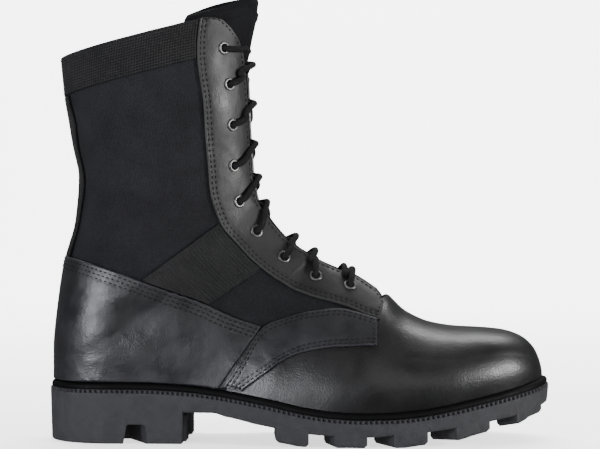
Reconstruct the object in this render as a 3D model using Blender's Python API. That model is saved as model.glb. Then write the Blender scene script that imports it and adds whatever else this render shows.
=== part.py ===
"""Black jungle boot for the right foot, empty, standing on its sole.

Lengths are in millimetres and become metres when a mesh is made. +X points to the toe, +Z up and +Y to
the inner side of the foot. The point under the middle of the heel is the origin.
The upper is one surface made of section lines. Each line runs, seen from the side, from the ridge (the
front of the shaft, then the top of the foot) to the base (the back of the shaft, then the edge where the
upper meets the sole). Every other piece takes its place from that surface.
"""
import math

import bmesh
import bpy
from mathutils import Vector

METRE = 0.001

# Driving dimensions
FOOT_LENGTH = 304.0
COLLAR_HEIGHT = 236.0
BALL_WIDTH = 103.0
HEEL_WIDTH = 69.0
ANKLE_WIDTH = 74.0
COLLAR_WIDTH = 82.0
CLEARANCE = 0.3
OVERLAY_LIFT = 0.7
WALL = 2.0
LEATHER = 1.4
TONGUE_THICKNESS = 3.0
INSOLE_THICKNESS = 3.0
HEEL_MIDDLE = 36.0

# Sole
LIP_REACH = 3.0
LIP_HEIGHT = 5.0
LIP_RADIUS = 2.4
SIDE_STEP = 0.8
HEEL_BREAST = 82.0
LUG_PROUD = -0.65
LUG_EMBED = 2.5
LUG_LENGTH = 30.0
LUG_CHAMFER = 2.0
NOTCH_WIDTH = 15.0
NOTCH_TOP_WIDTH = 11.0
NOTCH_HEIGHT = 12.0
NOTCH_DEPTH = 26.0
NOTCH_START = 44.5
NOTCH_SLANT = 12.0
NOTCH_OVERRUN = 1.0

# Lace and eyelets
LACE_DIAMETER = 3.6
EYELET_RADIUS = 3.7
EYELET_BARREL = 2.7
EYELET_BORE = 2.1
EYELET_HEIGHT = 1.0

# Section lines, from the tongue's top over the shaft and round the heel to the toe.
# front and base are points seen from the side, x as a share of FOOT_LENGTH and z of COLLAR_HEIGHT.
# outer and inner are half widths as shares of the width that rules the line.
# reach is how far the round of the ridge runs down the line, as a share of the line's length.
# full is how square the ridge is. rule names the ruling width.
SECTIONS = [
    # front_x, front_z, base_x, base_z, outer, inner, reach, full, rule
    (0.421, 1.140, 0.016, 1.025, 0.500, 0.500, 0.50, 2.00, "collar"),
    (0.409, 1.134, 0.016, 1.004, 0.500, 0.500, 0.50, 2.00, "collar"),
    (0.399, 1.030, 0.024, 0.903, 0.500, 0.500, 0.50, 2.00, "collar"),
    (0.402, 0.924, 0.036, 0.805, 0.530, 0.530, 0.50, 2.00, "ankle"),
    (0.404, 0.826, 0.052, 0.699, 0.520, 0.520, 0.50, 2.00, "ankle"),
    (0.408, 0.746, 0.047, 0.585, 0.505, 0.505, 0.50, 2.00, "ankle"),
    (0.414, 0.690, 0.021, 0.458, 0.500, 0.500, 0.50, 2.00, "ankle"),
    (0.421, 0.645, 0.001, 0.242, 0.505, 0.500, 0.52, 2.00, "ankle"),
    (0.455, 0.583, 0.001, 0.158, 0.520, 0.505, 0.55, 2.00, "heel"),
    (0.487, 0.536, 0.030, 0.158, 0.520, 0.505, 0.60, 2.00, "heel"),
    (0.505, 0.517, 0.105, 0.159, 0.515, 0.500, 0.66, 2.00, "heel"),
    (0.518, 0.505, 0.190, 0.158, 0.510, 0.480, 0.74, 2.00, "heel"),
    (0.530, 0.494, 0.270, 0.153, 0.510, 0.450, 0.82, 2.00, "heel"),
    (0.538, 0.484, 0.345, 0.142, 0.535, 0.435, 0.88, 2.00, "heel"),
    (0.580, 0.456, 0.440, 0.122, 0.430, 0.345, 0.94, 2.05, "ball"),
    (0.620, 0.434, 0.520, 0.101, 0.480, 0.410, 0.97, 2.10, "ball"),
    (0.650, 0.409, 0.580, 0.091, 0.505, 0.455, 0.97, 2.15, "ball"),
    (0.680, 0.384, 0.632, 0.088, 0.510, 0.485, 0.97, 2.20, "ball"),
    (0.720, 0.337, 0.685, 0.089, 0.500, 0.500, 0.97, 2.25, "ball"),
    (0.772, 0.308, 0.745, 0.095, 0.475, 0.515, 0.97, 2.35, "ball"),
    (0.823, 0.298, 0.806, 0.108, 0.433, 0.508, 0.97, 2.45, "ball"),
    (0.870, 0.295, 0.862, 0.123, 0.373, 0.478, 0.97, 2.50, "ball"),
    (0.912, 0.290, 0.908, 0.136, 0.308, 0.433, 0.97, 2.45, "ball"),
    (0.948, 0.277, 0.946, 0.148, 0.233, 0.368, 0.97, 2.30, "ball"),
    (0.974, 0.254, 0.974, 0.157, 0.152, 0.292, 0.97, 2.15, "ball"),
    (0.990, 0.222, 0.991, 0.163, 0.065, 0.205, 0.97, 2.05, "ball"),
    (1.000, 0.168, 1.000, 0.167, -0.068, 0.072, 0.97, 2.00, "ball"),
]
COLLAR_ROW = 1.0
BAND_ROW = 2.0
CORNER_ROW = 8.0
THROAT_END_ROW = 17.1
TOE_ROW = len(SECTIONS) - 1.0

# Half widths at the base get the toe's and heel's round from these reaches.
HEEL_ROUND = 38.0
SHAFT_ROUND = 46.0
SHAFT_ROUND_RISE = 1.6
HEEL_ROUND_ROWS = 6.0

# Rows over which the section lines open from the shaft's form to the foot's.
TURN_ROWS = 3.5
FOOT_ROWS = 4.0

RULES = {
    "collar": COLLAR_WIDTH,
    "ankle": ANKLE_WIDTH,
    "heel": HEEL_WIDTH,
    "ball": BALL_WIDTH,
}

# The base bulges a little over the sole before it rounds over to the ridge.
SIDE_BULGE = 0.03
BULGE_SPAN = 0.6

# Steps in t and in rows that the face's normals are taken over, and how near a seam counts as on it.
NORMAL_STEP = 0.02
SEAM = 0.005
SEAM_SIDE = 0.015
SEAM_ROWS = 0.05
SHORTEST = 1e-9
BISECTIONS = 40

# Sideways place of the ridge at a section line, as a share of BALL_WIDTH.
RIDGE_SHIFTS = [
    # row, share
    (12.0, 0.000),
    (16.0, 0.030),
    (20.0, 0.035),
    (23.0, 0.050),
    (26.0, 0.070),
]

# Edges of the eyestay on the section lines, as shares of EYESTAY_WIDTH from the ridge.
EYESTAY_WIDTH = 26.0
EYESTAY = [
    # row, front, rear
    (0.95, 1.230, 1.260),
    (1.10, 0.980, 1.250),
    (1.26, 0.730, 1.240),
    (1.55, 0.450, 1.230),
    (1.83, 0.260, 1.210),
    (2.20, 0.170, 1.180),
    (3.30, 0.130, 1.090),
    (4.80, 0.120, 1.080),
    (6.10, 0.150, 1.140),
    (7.00, 0.160, 1.130),
    (8.20, 0.200, 1.090),
    (10.00, 0.190, 1.070),
    (13.00, 0.140, 0.960),
    (14.80, 0.110, 0.780),
    (16.20, 0.120, 0.680),
    (16.95, 0.260, 0.610),
]

# Eyelets seen from the side, x as a share of FOOT_LENGTH and z of COLLAR_HEIGHT.
EYELETS = [
    # x, z
    (0.349, 1.025),
    (0.359, 0.932),
    (0.365, 0.826),
    (0.368, 0.720),
    (0.378, 0.627),
    (0.414, 0.547),
    (0.470, 0.479),
    (0.536, 0.428),
    (0.605, 0.403),
]

# Half width of the tongue at a section line, as a share of TONGUE_WIDTH, measured along the line.
TONGUE_WIDTH = 72.0
TONGUE = [
    # row, half
    (0.0, 0.540),
    (0.6, 0.570),
    (3.0, 0.560),
    (7.0, 0.540),
    (10.0, 0.520),
    (13.0, 0.480),
    (15.0, 0.420),
    (17.1, 0.300),
]
TONGUE_GAP = 1.0

# Top edge of the rear quarter seen from the side, from the back to where the side band starts,
# and the edge of the strap of leather that runs from the sole up and forward over the vamp.
# x is a share of FOOT_LENGTH and z of COLLAR_HEIGHT.
QUARTER_TOP = [
    # x, z
    (0.020, 0.483),
    (0.056, 0.474),
    (0.138, 0.445),
    (0.220, 0.407),
    (0.303, 0.369),
    (0.375, 0.326),
    (0.428, 0.302),
]
BAND_TOP = [
    # x, z
    (0.354, 0.148),
    (0.393, 0.222),
    (0.434, 0.302),
    (0.474, 0.322),
    (0.523, 0.339),
    (0.586, 0.347),
    (0.661, 0.322),
]
BAND_LOW = [
    # x, z
    (0.390, 0.138),
    (0.414, 0.162),
    (0.444, 0.190),
    (0.466, 0.212),
    (0.510, 0.238),
    (0.586, 0.254),
    (0.661, 0.258),
]

# Underside of the sole between its lugs, and the lugs, from the breast of the heel to the toe.
# x is a share of FOOT_LENGTH and z of COLLAR_HEIGHT.
UNDERSIDE = [
    # x, z
    (0.270, 0.081),
    (0.330, 0.081),
    (0.358, 0.072),
    (0.421, 0.055),
    (0.526, 0.034),
    (0.566, 0.030),
    (0.650, 0.027),
    (0.684, 0.030),
    (0.783, 0.042),
    (0.855, 0.055),
    (0.931, 0.072),
    (0.970, 0.088),
    (1.000, 0.098),
]
LUGS = [
    # start_x, end_x, start_drop, end_drop, length
    (0.462, 0.528, 0.036, 0.033, 1.00),
    (0.578, 0.642, 0.034, 0.034, 1.00),
    (0.694, 0.760, 0.033, 0.032, 1.00),
    (0.816, 0.882, 0.031, 0.026, 0.85),
    (0.936, 0.992, 0.024, 0.020, 0.45),
]
LUG_SLANT = 9.0
WALL_DRAFT = 0.8
EDGE_ROUND = 1.5

# Panels: gaps, rows of section lines and how finely each is cut
PANEL_GAP = 0.6
WEBBING = 1.1
STAY_REACH = 4.5
BAND_STAY_GAP = 0.03
BACKSTAY_ROWS = [3.0, 4.0, 5.0]
THROAT_CLOSING = 0.5
QUARTER_FOOT = 104.0
QUARTER_LIFT = 0.6
UPPER_ROWS = [1.0, 1.15, 1.35, 1.6, 2.0, 3.0, 4.0, 5.0, 5.7, 6.2, 6.6, 7.0, 7.5, 8.0, 8.4, 9.0, 10.0, 11.0,
              12.0, 12.5, 13.0, 13.5, 14.0, 15.0, 16.0, 16.5, 16.8, 17.1, 17.45, 18.0, 19.0, 20.0, 21.0, 22.0,
              23.0, 24.0, 25.0, 26.0]
UPPER_COLUMNS = 12
EYESTAY_ROWS = [1.0, 1.15, 1.35, 1.6, 2.0, 3.0, 4.0, 5.0, 5.7, 6.2, 6.6, 7.0, 7.5, 8.0, 8.4, 9.0, 10.0, 12.0,
                13.0, 14.0, 15.0, 16.0, 16.5, 16.9]
EYESTAY_COLUMNS = 3
BAND_COLUMNS = 9
STAY_COLUMNS = 3
QUARTER_COLUMNS = 14
QUARTER_STEPS = 8
SIDE_BAND_STEPS = 9
SIDE_BAND_COLUMNS = 3
STRAP_ROWS = [7.0, 7.5, 8.0, 8.4, 9.0, 9.85]
STRAP_COLUMNS = 6
STRAP_LAST = 0.9
TONGUE_ROWS = [0.0, 0.5, 1.0, 2.0, 3.0, 4.0, 5.0, 6.2, 7.0, 7.5, 8.0, 8.4, 9.0, 10.0, 11.0, 12.0, 13.0, 14.0,
               15.0, 16.0, 16.5, 17.1]
TONGUE_COLUMNS = 4
SOLE_ROWS_HEEL = [8.0, 8.3, 8.6, 9.0, 9.4, 9.8, 10.4, 11.2]
SOLE_ROWS_FOOT = [12.6, 13.3, 14.0, 15.0, 16.0, 17.0, 18.0, 19.0, 20.0, 21.0, 22.0, 23.0, 24.0, 24.6, 25.2,
                  25.7, 26.0]
SEAT_INSET = 1.0
BREAST_STEP = 0.3
INSOLE_SKIPS = (8.3, 25.2, 25.7)
INSOLE_GAP = 4.0
LUG_STEPS = 2
LUG_LAST = 0.985
LUG_SAMPLE = 0.05
EYELET_SIDES = 8
CUT_OVERRUN = 1.5
LACE_SIDES = 5
LACE_STEPS = 3
LACE_END_GAP = 1.2
LACE_RISE = 0.2
LACE_SPLIT = 0.14
LACE_DIP = 2.6
LACE_OVER = 0.9
LACE_POWER = 3
LACE_UP = Vector((1.0, 0.0, 0.3))
SHARP_ANGLE = math.radians(40.0)

CANVAS_COLOUR = (0.016, 0.017, 0.021)
WEBBING_COLOUR = (0.022, 0.023, 0.027)
LEATHER_COLOUR = (0.012, 0.012, 0.013)
RUBBER_COLOUR = (0.030, 0.030, 0.034)
INSOLE_COLOUR = (0.020, 0.020, 0.022)
METAL_COLOUR = (0.050, 0.050, 0.052)
LACE_COLOUR = (0.010, 0.010, 0.011)


def columns(table, names):
    """Return the table as one list for each named column."""
    return {name: [row[index] for row in table] for index, name in enumerate(names)}


SECTION = columns(
    SECTIONS,
    ("front_x", "front_z", "base_x", "base_z", "outer", "inner", "reach", "full", "rule"),
)


def smooth(value):
    value = min(max(value, 0.0), 1.0)
    return value * value * (3.0 - 2.0 * value)


def slope(values, index, flat_end):
    """Slope at a row, flat wherever the values turn, so that nothing overshoots."""
    last = len(values) - 1
    if index == 0:
        return values[1] - values[0]
    if index == last:
        return 0.0 if flat_end else values[last] - values[last - 1]
    before = values[index] - values[index - 1]
    after = values[index + 1] - values[index]
    if before * after <= 0.0:
        return 0.0
    return 2.0 * before * after / (before + after)


def along(values, place, flat_end=False):
    """Read a column at a fractional row."""
    place = min(max(place, 0.0), len(values) - 1.0)
    index = min(int(place), len(values) - 2)
    s = place - index
    start, end = values[index], values[index + 1]
    rise = (slope(values, index, flat_end), slope(values, index + 1, flat_end))
    hermite = (
        (2 * s**3 - 3 * s**2 + 1) * start
        + (s**3 - 2 * s**2 + s) * rise[0]
        + (-2 * s**3 + 3 * s**2) * end
        + (s**3 - s**2) * rise[1]
    )
    return hermite


WIDTHS = {
    side: [share * RULES[rule] for share, rule in zip(SECTION[side], SECTION["rule"])]
    for side in ("outer", "inner")
}
RIDGE_SHIFT = columns(RIDGE_SHIFTS, ("row", "share"))


def table_at(rows, values, place):
    """Read a short table whose first column is the row of the section lines."""
    if place <= rows[0]:
        return values[0]
    for index in range(len(rows) - 1):
        if place <= rows[index + 1]:
            span = rows[index + 1] - rows[index]
            return along(values, index + (place - rows[index]) / span)
    return values[-1]


def front(place):
    x = along(SECTION["front_x"], place, True) * FOOT_LENGTH
    return x, along(SECTION["front_z"], place) * COLLAR_HEIGHT


def base(place):
    x = along(SECTION["base_x"], place, True) * FOOT_LENGTH
    return x, along(SECTION["base_z"], place) * COLLAR_HEIGHT


def bisect(function, low, high):
    """Find where a rising function passes zero."""
    for _ in range(BISECTIONS):
        middle = 0.5 * (low + high)
        if function(middle) < 0.0:
            low = middle
        else:
            high = middle
    return 0.5 * (low + high)


def back_at(height):
    """x of the boot's back at a height."""
    if height <= base(CORNER_ROW)[1]:
        return base(CORNER_ROW)[0]
    row = bisect(lambda place: height - base(place)[1], 0.0, CORNER_ROW)
    return base(row)[0]


def sole_row(x):
    """Section line whose base is at x along the sole."""
    return bisect(lambda place: base(place)[0] - x, CORNER_ROW, TOE_ROW)


def turn(place):
    """Angle that spaces the points of a line: both ends close on the shaft, only the ridge on the foot."""
    return math.pi * (1.0 - 0.5 * smooth((place - CORNER_ROW) / TURN_ROWS))


def share_of(place, t):
    angle = turn(place)
    return (1.0 - math.cos(angle * t)) / (1.0 - math.cos(angle))


def t_of(place, share):
    angle = turn(place)
    return math.acos(max(-1.0, 1.0 - share * (1.0 - math.cos(angle)))) / angle


def rounded(share, power):
    if share >= 1.0:
        return 1.0
    return (1.0 - (1.0 - max(share, 0.0)) ** power) ** (1.0 / power)


def half_width(place, share, x, z):
    outer = along(WIDTHS["outer"], place)
    inner = along(WIDTHS["inner"], place)
    foot = smooth((place - CORNER_ROW) / FOOT_ROWS)
    reach = along(SECTION["reach"], place)
    width = 0.5 * (outer + inner)
    width *= rounded(share / reach, along(SECTION["full"], place))
    width *= 1.0 + SIDE_BULGE * foot * math.sin(math.pi * min((1.0 - share) / BULGE_SPAN, 1.0))
    corner_z = base(CORNER_ROW)[1]
    shaft = smooth((z - corner_z) / (COLLAR_HEIGHT - corner_z) * SHAFT_ROUND_RISE)
    round_length = HEEL_ROUND + (SHAFT_ROUND - HEEL_ROUND) * shaft
    if place < CORNER_ROW + HEEL_ROUND_ROWS:
        width *= rounded((x - back_at(z)) / round_length, 2.0)
    return width


def middle(place, share):
    """y of the line's middle: the ridge and the base shift by their own amounts."""
    low = 0.5 * (along(WIDTHS["inner"], place) - along(WIDTHS["outer"], place))
    high = table_at(RIDGE_SHIFT["row"], RIDGE_SHIFT["share"], place) * BALL_WIDTH
    return high + (low - high) * smooth(share)


def surface(place, t, side):
    """Point of the upper's outer face. side is -1 on the outer side of the foot and 1 on the inner."""
    fx, fz = front(place)
    bx, bz = base(place)
    share = share_of(place, t)
    x = fx + (bx - fx) * share
    z = fz + (bz - fz) * share
    return Vector((x, middle(place, share) + side * half_width(place, share, x, z), z))


def normal(place, t, side):
    """Outward normal. At a seam both sides are averaged, so the seam's normal has no sideways part."""
    step = NORMAL_STEP
    at_back = t > 1.0 - SEAM and place < CORNER_ROW + SEAM_ROWS
    if at_back or t < SEAM:
        t = 1.0 - SEAM_SIDE if at_back else SEAM_SIDE
        pair = normal(place, t, -1) + normal(place, t, 1)
        return pair.normalized()
    low, high = max(t - step, 0.0), min(t + step, 1.0)
    down = surface(place, high, side) - surface(place, low, side)
    low, high = max(place - step, 0.0), min(place + step, TOE_ROW)
    forward = surface(high, t, side) - surface(low, t, side)
    result = down.cross(forward) * -side
    if t > 1.0 - SEAM:
        result.z = 0.0
    if result.length < SHORTEST:
        return Vector((1.0, 0.0, 0.0))
    return result.normalized()


def lifted(place, t, side, lift):
    """Point at a height over the upper's outer face."""
    return surface(place, t, side) + normal(place, t, side) * lift


def locate(x, z):
    """Section line and t of a point seen from the side."""

    def beyond(place):
        fx, fz = front(place)
        bx, bz = base(place)
        return (x - fx) * (bz - fz) - (z - fz) * (bx - fx)

    place = bisect(beyond, 0.0, TOE_ROW)
    fx, fz = front(place)
    bx, bz = base(place)
    share = math.hypot(x - fx, z - fz) / math.hypot(bx - fx, bz - fz)
    return place, t_of(place, min(share, 1.0))


def side_curve(table, share):
    """Point seen from the side at a share of the way along a table of x and z."""
    cols = columns(table, ("x", "z"))
    place = share * (len(table) - 1)
    return along(cols["x"], place) * FOOT_LENGTH, along(cols["z"], place) * COLLAR_HEIGHT


def line_length(place):
    fx, fz = front(place)
    bx, bz = base(place)
    return math.hypot(bx - fx, bz - fz)


def t_at(place, distance):
    """t of a point at a distance from the ridge along its line."""
    return t_of(place, max(distance, 0.0) / line_length(place))


EYESTAY_EDGE = columns(EYESTAY, ("row", "front", "rear"))


def eyestay_front(place):
    return table_at(EYESTAY_EDGE["row"], EYESTAY_EDGE["front"], place) * EYESTAY_WIDTH


def eyestay_rear(place):
    return table_at(EYESTAY_EDGE["row"], EYESTAY_EDGE["rear"], place) * EYESTAY_WIDTH


def throat_edge(place):
    """t where the upper starts beside the throat, closing to the ridge at the throat's lower end."""
    closing = 1.0 - smooth((place - THROAT_END_ROW + THROAT_CLOSING) / THROAT_CLOSING)
    return t_at(place, eyestay_front(place) * closing)


def spread(start, end, steps):
    return [start + (end - start) * index / steps for index in range(steps + 1)]


class Sheet:
    """Vertices with normals and faces. Points that fall together become one vertex."""

    def __init__(self):
        self.points = []
        self.normals = []
        self.faces = []
        self.known = {}

    def vertex(self, place, t, side):
        point = surface(place, t, side)
        key = tuple(round(value, 3) for value in point)
        if key not in self.known:
            self.known[key] = len(self.points)
            self.points.append(point)
            self.normals.append(normal(place, t, side))
        return self.known[key]

    def grid(self, rows):
        """Faces between rows of (place, t, side)."""
        index = [[self.vertex(*cell) for cell in row] for row in rows]
        for upper, lower in zip(index, index[1:]):
            for left in range(len(upper) - 1):
                corners = []
                for corner in (upper[left], upper[left + 1], lower[left + 1], lower[left]):
                    if corner not in corners:
                        corners.append(corner)
                if len(corners) > 2:
                    self.faces.append(corners)

    def boundary(self):
        count = {}
        for face in self.faces:
            for start, end in zip(face, face[1:] + face[:1]):
                count.setdefault(frozenset((start, end)), []).append((start, end))
        return [edges[0] for edges in count.values() if len(edges) == 1]


def make_object(name, points, faces, material):
    mesh = bpy.data.meshes.new(name)
    mesh.from_pydata([point * METRE for point in points], [], faces)
    work = bmesh.new()
    work.from_mesh(mesh)
    bmesh.ops.recalc_face_normals(work, faces=work.faces)
    work.to_mesh(mesh)
    work.free()
    mesh.shade_smooth()
    mesh.set_sharp_from_angle(angle=SHARP_ANGLE)
    thing = bpy.data.objects.new(name, mesh)
    thing.location = (-HEEL_MIDDLE * METRE, 0.0, 0.0)
    bpy.context.collection.objects.link(thing)
    if material:
        mesh.materials.append(material)
    return thing


def thick(name, sheet, inner, outer, material):
    """Closed solid between two heights over the upper's outer face."""
    count = len(sheet.points)
    pairs = list(zip(sheet.points, sheet.normals))
    points = [point + way * outer for point, way in pairs] + [point + way * inner for point, way in pairs]
    faces = list(sheet.faces)
    faces += [[count + corner for corner in reversed(face)] for face in sheet.faces]
    faces += [[end, start, count + start, count + end] for start, end in sheet.boundary()]
    return make_object(name, points, faces, material)


def material(name, colour, roughness, metallic=0.0):
    made = bpy.data.materials.new(name)
    made.use_nodes = True
    shader = made.node_tree.nodes["Principled BSDF"]
    shader.inputs["Base Color"].default_value = (*colour, 1.0)
    shader.inputs["Roughness"].default_value = roughness
    shader.inputs["Metallic"].default_value = metallic
    made.diffuse_color = (*colour, 1.0)
    return made


def modifier_cut(thing, cutter, operation, label):
    cut = thing.modifiers.new(label, "BOOLEAN")
    cut.operation = operation
    cut.solver = "EXACT"
    cut.object = cutter
    cutter.hide_render = True
    cutter.display_type = "WIRE"


# Upper


def make_upper():
    sheet = Sheet()
    shares = spread(0.0, 1.0, UPPER_COLUMNS)
    for side in (-1, 1):
        rows = []
        for place in UPPER_ROWS:
            start = throat_edge(place)
            rows.append([(place, start + (1.0 - start) * share, side) for share in shares])
        sheet.grid(rows)
    return thick("upper", sheet, -WALL, 0.0, material("upper_canvas_and_leather", CANVAS_COLOUR, 0.75))


def over(name, rows, colour, roughness, thickness=LEATHER, lift=OVERLAY_LIFT):
    sheet = Sheet()
    sheet.grid(rows)
    return thick(name, sheet, lift, lift + thickness, material(name + "_finish", colour, roughness))


SIDES = (("outer", -1), ("inner", 1))


def make_eyestays():
    made = []
    for word, side in SIDES:
        rows = []
        for place in EYESTAY_ROWS:
            start, end = t_at(place, eyestay_front(place)), t_at(place, eyestay_rear(place))
            rows.append([(place, t, side) for t in spread(start, end, EYESTAY_COLUMNS)])
        made.append(over("eyestay_" + word, rows, LEATHER_COLOUR, 0.4))
    return made


def make_collar_band():
    """Webbing round the collar's back, from one eyestay to the other."""
    rows = []
    for place in spread(COLLAR_ROW, BAND_ROW, 2):
        start = t_at(place, eyestay_rear(place) + PANEL_GAP)
        outer = [(place, t, -1) for t in spread(start, 1.0, BAND_COLUMNS)]
        inner = [(place, t, 1) for t in spread(1.0, start, BAND_COLUMNS)]
        rows.append(outer + inner[1:])
    return over("collar_band", rows, WEBBING_COLOUR, 0.8, WEBBING)


def quarter_top(x):
    """Height of the quarter's top edge at x."""
    way = bisect(lambda value: side_curve(QUARTER_TOP, value)[0] - x, 0.0, 1.0)
    return side_curve(QUARTER_TOP, way)[1]


def stay_foot(t):
    """Section line on which a point at t stands a gap above the quarter's top edge."""

    def under(place):
        share = share_of(place, t)
        fx, fz = front(place)
        bx, bz = base(place)
        return quarter_top(fx + (bx - fx) * share) + PANEL_GAP - fz - (bz - fz) * share

    return bisect(under, BAND_ROW, CORNER_ROW)


def make_backstay():
    """Webbing strip up the middle of the shaft's back, from the quarter to the collar band."""
    rows = []
    for place in [BAND_ROW + BAND_STAY_GAP] + BACKSTAY_ROWS:
        start = t_at(place, line_length(place) - STAY_REACH)
        outer = [(place, t, -1) for t in spread(start, 1.0, STAY_COLUMNS)]
        inner = [(place, t, 1) for t in spread(1.0, start, STAY_COLUMNS)]
        rows.append(outer + inner[1:])
    foot_place = stay_foot(1.0)
    start = t_at(foot_place, line_length(foot_place) - STAY_REACH)
    outer = [(stay_foot(t), t, -1) for t in spread(start, 1.0, STAY_COLUMNS)]
    inner = [(place, t, 1) for place, t, _ in reversed(outer)]
    rows.append(outer + inner[1:])
    return over("backstay", rows, WEBBING_COLOUR, 0.8, WEBBING)


def quarter_line(share, side, steps):
    """Points of the quarter from its top edge down to the sole, at a share of its way from the back."""
    top_x, top_z = side_curve(QUARTER_TOP, share)
    back = back_at(top_z)
    first = side_curve(QUARTER_TOP, 0.0)[0]
    last = side_curve(QUARTER_TOP, 1.0)[0]
    top_x = back + (top_x - first) * (last - back) / (last - first)
    low_row = sole_row(base(CORNER_ROW)[0] + QUARTER_FOOT * (top_x - back) / (last - back))
    low_x, low_z = base(low_row)
    cells = []
    for down in spread(0.0, 1.0, steps):
        x = top_x + (low_x - top_x) * down
        z = top_z + (low_z + QUARTER_LIFT - top_z) * down
        if share == 0.0:
            x = back_at(z)
        cells.append((*locate(x, z), side))
    return cells


def make_quarter():
    """Leather wrap round the heel, in one piece from one side band to the other."""
    shares = [1.0 - math.cos(0.5 * math.pi * index / QUARTER_COLUMNS) for index in range(QUARTER_COLUMNS + 1)]
    outer = [quarter_line(share, -1, QUARTER_STEPS) for share in reversed(shares)]
    inner = [quarter_line(share, 1, QUARTER_STEPS) for share in shares]
    return over("quarter", outer + inner[1:], LEATHER_COLOUR, 0.4)


def make_side_bands():
    made = []
    for word, side in SIDES:
        rows = []
        for share in spread(0.0, 1.0, SIDE_BAND_STEPS):
            top_x, top_z = side_curve(BAND_TOP, share)
            low_x, low_z = side_curve(BAND_LOW, share)
            row = []
            for down in spread(0.0, 1.0, SIDE_BAND_COLUMNS):
                x, z = top_x + (low_x - top_x) * down, top_z + (low_z - top_z) * down
                row.append((*locate(x, z), side))
            rows.append(row)
        made.append(over("side_band_" + word, rows, LEATHER_COLOUR, 0.4))
    return made


def make_ankle_straps():
    """Webbing from the eyestay's rear edge back to the quarter."""
    made = []
    for word, side in SIDES:
        rows = []
        for place in STRAP_ROWS:
            start = t_at(place, eyestay_rear(place) + PANEL_GAP)
            end = strap_end(place)
            rows.append([(place, t, side) for t in spread(start, end, STRAP_COLUMNS)])
        made.append(over("ankle_strap_" + word, rows, WEBBING_COLOUR, 0.8, WEBBING))
    return made


def strap_end(place):
    """t where a section line meets the quarter's top edge, less the gap between panels."""

    def past(t):
        share = share_of(place, t)
        fx, fz = front(place)
        bx, bz = base(place)
        x, z = fx + (bx - fx) * share, fz + (bz - fz) * share
        return quarter_top(x) + PANEL_GAP - z

    return bisect(past, t_at(place, eyestay_rear(place)), STRAP_LAST)


TONGUE_HALF = columns(TONGUE, ("row", "half"))


def make_tongue():
    rows = []
    for place in TONGUE_ROWS:
        half = table_at(TONGUE_HALF["row"], TONGUE_HALF["half"], place) * TONGUE_WIDTH
        end = t_at(place, half)
        outer = [(place, t, -1) for t in spread(end, 0.0, TONGUE_COLUMNS)]
        inner = [(place, t, 1) for t in spread(0.0, end, TONGUE_COLUMNS)]
        rows.append(outer + inner[1:])
    lift = -(WALL + TONGUE_GAP + TONGUE_THICKNESS)
    return over("tongue", rows, CANVAS_COLOUR, 0.8, TONGUE_THICKNESS, lift)


# Sole and insole


def outline(rows, reach):
    """Points round the upper's base, moved out by a reach, from the heel by the outer side to the toe and back."""
    half = [[surface(place, 1.0, side) for place in rows] for side in (-1, 1)]
    loop = half[0] + half[1][-2:0:-1]
    moved = []
    for index, point in enumerate(loop):
        before, after = loop[index - 1], loop[(index + 1) % len(loop)]
        way = Vector((after.y - before.y, before.x - after.x, 0.0)).normalized()
        moved.append(point + way * reach)
    return moved


UNDER = columns(UNDERSIDE, ("x", "z"))


def underside(x):
    """Height of the sole's underside between the lugs. The heel stands on the floor."""
    if x < HEEL_BREAST:
        return 0.0
    share = x / FOOT_LENGTH
    return table_at(UNDER["x"], UNDER["z"], share) * COLLAR_HEIGHT


def seat(point):
    return point.z - CLEARANCE


def strips(count):
    """Faces across a loop of points that starts at the heel: a triangle, quads, a triangle."""
    last = count - 1
    faces = [[0, 1, last]]
    for index in range(1, count // 2 - 1):
        faces.append([index, index + 1, last - index, last - index + 1])
    middle_index = count // 2
    faces.append([middle_index - 1, middle_index, middle_index + 1])
    return faces


def ring_solid(name, rings, finish):
    """Closed solid from rings of points, with strips across the first and the last."""
    count = len(rings[0])
    points = [point for ring in rings for point in ring]
    faces = []
    for level in range(len(rings) - 1):
        for index in range(count):
            after = (index + 1) % count
            low, high = level * count, (level + 1) * count
            faces.append([low + index, low + after, high + after, high + index])
    faces += [list(reversed(face)) for face in strips(count)]
    faces += [[corner + (len(rings) - 1) * count for corner in face] for face in strips(count)]
    return make_object(name, points, faces, finish)


def level(points, heights):
    return [Vector((point.x, point.y, height)) for point, height in zip(points, heights)]


def sole_rows():
    """Section lines that the sole follows, with one each side of the heel's breast."""
    breast = [sole_row(HEEL_BREAST - BREAST_STEP), sole_row(HEEL_BREAST + BREAST_STEP)]
    return SOLE_ROWS_HEEL + breast + SOLE_ROWS_FOOT


def make_outsole():
    rows = sole_rows()
    seats = [seat(point) for point in outline(rows, 0.0)]
    lip_reach, wall_reach = LIP_REACH, LIP_REACH + SIDE_STEP
    rings = []
    inside = outline(rows, -SEAT_INSET)
    rings.append(level(inside, seats))
    for step in range(3):
        angle = 0.5 * math.pi * step / 2
        reach = lip_reach - LIP_RADIUS + LIP_RADIUS * math.sin(angle)
        drop = LIP_RADIUS * (1.0 - math.cos(angle))
        rings.append(level(outline(rows, reach), [value - drop for value in seats]))
    rings.append(level(outline(rows, lip_reach), [value - LIP_HEIGHT for value in seats]))
    wall = outline(rows, wall_reach)
    rings.append(level(wall, [value - LIP_HEIGHT - SIDE_STEP * 0.5 for value in seats]))
    foot = [underside(point.x) for point in outline(rows, 0.0)]
    rings.append(level(outline(rows, wall_reach - WALL_DRAFT), [height + EDGE_ROUND for height in foot]))
    rings.append(level(outline(rows, wall_reach - WALL_DRAFT - EDGE_ROUND), foot))
    sole = ring_solid("outsole", rings, material("outsole_rubber", RUBBER_COLOUR, 0.6))
    for word, side in SIDES:
        modifier_cut(sole, make_lugs(word, side), "UNION", "lugs_" + word)
    modifier_cut(sole, make_notches(), "DIFFERENCE", "heel_notches")
    return sole


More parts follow.
